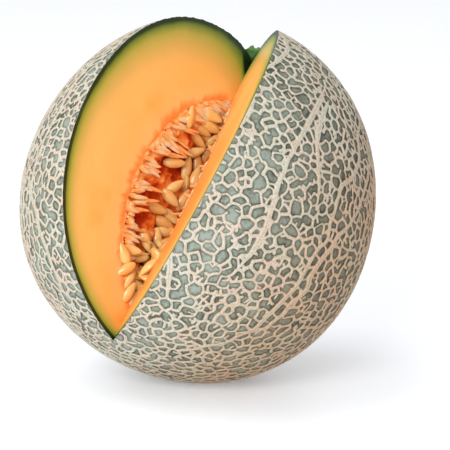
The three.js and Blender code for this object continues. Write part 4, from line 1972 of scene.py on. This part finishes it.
@dataclass
class Stage:
    """Floor, light and camera."""

    floor_size_m: float = 14.0
    floor_colour: str = "f1f3f7"
    floor_glow: str = "f4f8ff"
    floor_glow_strength: float = 0.25
    sky_strength: float = 0.68
    # Each light's name, place and side in metres, and power in watts.
    lights: tuple[tuple[str, tuple[float, float, float], float, float], ...] = (
        ("key_light", (-0.7, -2.0, 1.0), 1.1, 38.0),
        ("top_light", (-0.8, 0.2, 1.8), 1.4, 11.0),
    )
    aim_height_m: float = 0.08
    camera_place: tuple[float, float, float] = (10.81, -1303.8, 296.8)
    camera_tilt: float = 10.0
    lens: float = 245.4
    picture_size: float = 450.0
    sensor_width: float = 36.0
    clip_end_m: float = 50.0

    def axes(self) -> tuple[Vector, Vector, Vector]:
        """Finds how the camera is turned.

        Returns:
            Its right, up and backward directions.
        """
        tilt = math.radians(self.camera_tilt)
        back = Vector((0, -math.cos(tilt), math.sin(tilt)))
        return Vector((1, 0, 0)), Vector((0, math.sin(tilt), math.cos(tilt))), back

    def toward_camera(self) -> Vector:
        """Returns the direction from the melon back to the camera."""
        return self.axes()[2]

    def picture_direction(self, slant: float) -> Vector:
        """Returns the direction that has a slant in degrees in the picture."""
        right, up, _ = self.axes()
        return right * math.cos(math.radians(slant)) + up * math.sin(math.radians(slant))

    def to_picture(self, points: np.ndarray) -> np.ndarray:
        """Projects points in millimetres into the square picture.

        Args:
            points: Places, one a row.

        Returns:
            Pixel coordinates from the top left corner, one pair a row.
        """
        away = points - np.array(self.camera_place)
        right, up, back = (away @ np.array(axis) for axis in self.axes())
        scale = self.lens / self.sensor_width * self.picture_size
        half = self.picture_size / 2
        return np.column_stack([half + scale * right / -back, half - scale * up / -back])

    def floor(self) -> None:
        """Lays the plain pale floor."""
        bm = bmesh.new()
        bmesh.ops.create_grid(bm, x_segments=1, y_segments=1, size=self.floor_size_m / 2)
        mesh = bpy.data.meshes.new("floor")
        bm.to_mesh(mesh)
        bm.free()
        piece = bpy.data.objects.new("floor", mesh)
        bpy.context.scene.collection.objects.link(piece)
        made = new_material("white_studio_sheet")
        surface = {
            "Base Color": linear(self.floor_colour),
            "Roughness": 0.35,
            "Emission Color": linear(self.floor_glow),
            "Emission Strength": self.floor_glow_strength,
        }
        add_node(made, "OutputMaterial", {"Surface": add_node(made, "BsdfPrincipled", surface)})
        mesh.materials.append(made)

    def area_light(self, name: str, place: tuple, size: float, power: float) -> None:
        """Adds a soft square light that faces the melon.

        Args:
            name: Its name.
            place: Its place in metres.
            size: Length of its side in metres.
            power: Its power in watts.
        """
        lamp = bpy.data.lights.new(name, "AREA")
        lamp.size = size
        lamp.energy = power
        holder = bpy.data.objects.new(name, lamp)
        holder.location = place
        aim = Vector((0, 0, self.aim_height_m)) - Vector(place)
        holder.rotation_euler = aim.to_track_quat("-Z", "Y").to_euler()
        bpy.context.scene.collection.objects.link(holder)

    def build(self) -> None:
        """Builds floor, world, lights and camera."""
        self.floor()
        world = bpy.data.worlds.new("white_studio")
        world.use_nodes = True
        sky = world.node_tree.nodes["Background"].inputs
        sky["Color"].default_value = (1, 1, 1, 1)
        sky["Strength"].default_value = self.sky_strength
        scene = bpy.context.scene
        scene.world = world
        scene.view_settings.view_transform = "Standard"
        for light in self.lights:
            self.area_light(*light)
        lens = bpy.data.cameras.new("camera")
        lens.lens = self.lens
        lens.sensor_width = self.sensor_width
        lens.clip_end = self.clip_end_m
        camera = bpy.data.objects.new("camera", lens)
        camera.location = Vector(self.camera_place) * MM
        camera.rotation_euler = (math.radians(90 - self.camera_tilt), 0, 0)
        scene.collection.objects.link(camera)
        scene.camera = camera


def main() -> None:
    """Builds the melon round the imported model."""
    logging.basicConfig(level=logging.INFO, format="%(name)s: %(message)s")
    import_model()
    form = MelonForm()
    stage = Stage()
    stage.build()
    net = CorkNet(form)
    flesh_finish = CutFleshFinish().material()
    Rind(form, net).build([NettedRindFinish().material(), flesh_finish])
    cavity = Cavity()
    Flesh(form, cavity).build(flesh_finish)
    pulp = Pulp(form, cavity)
    pulp_finish = WetPulpFinish().material()
    pulp.build(pulp_finish)
    SeedHeap(form, pulp, stage).build(WetSeedFinish().material())
    Ribbons(form, cavity).build(pulp_finish)
    StemStub(form).build(StemFinish().material())
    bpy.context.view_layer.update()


if __name__ == "__main__":
    main()
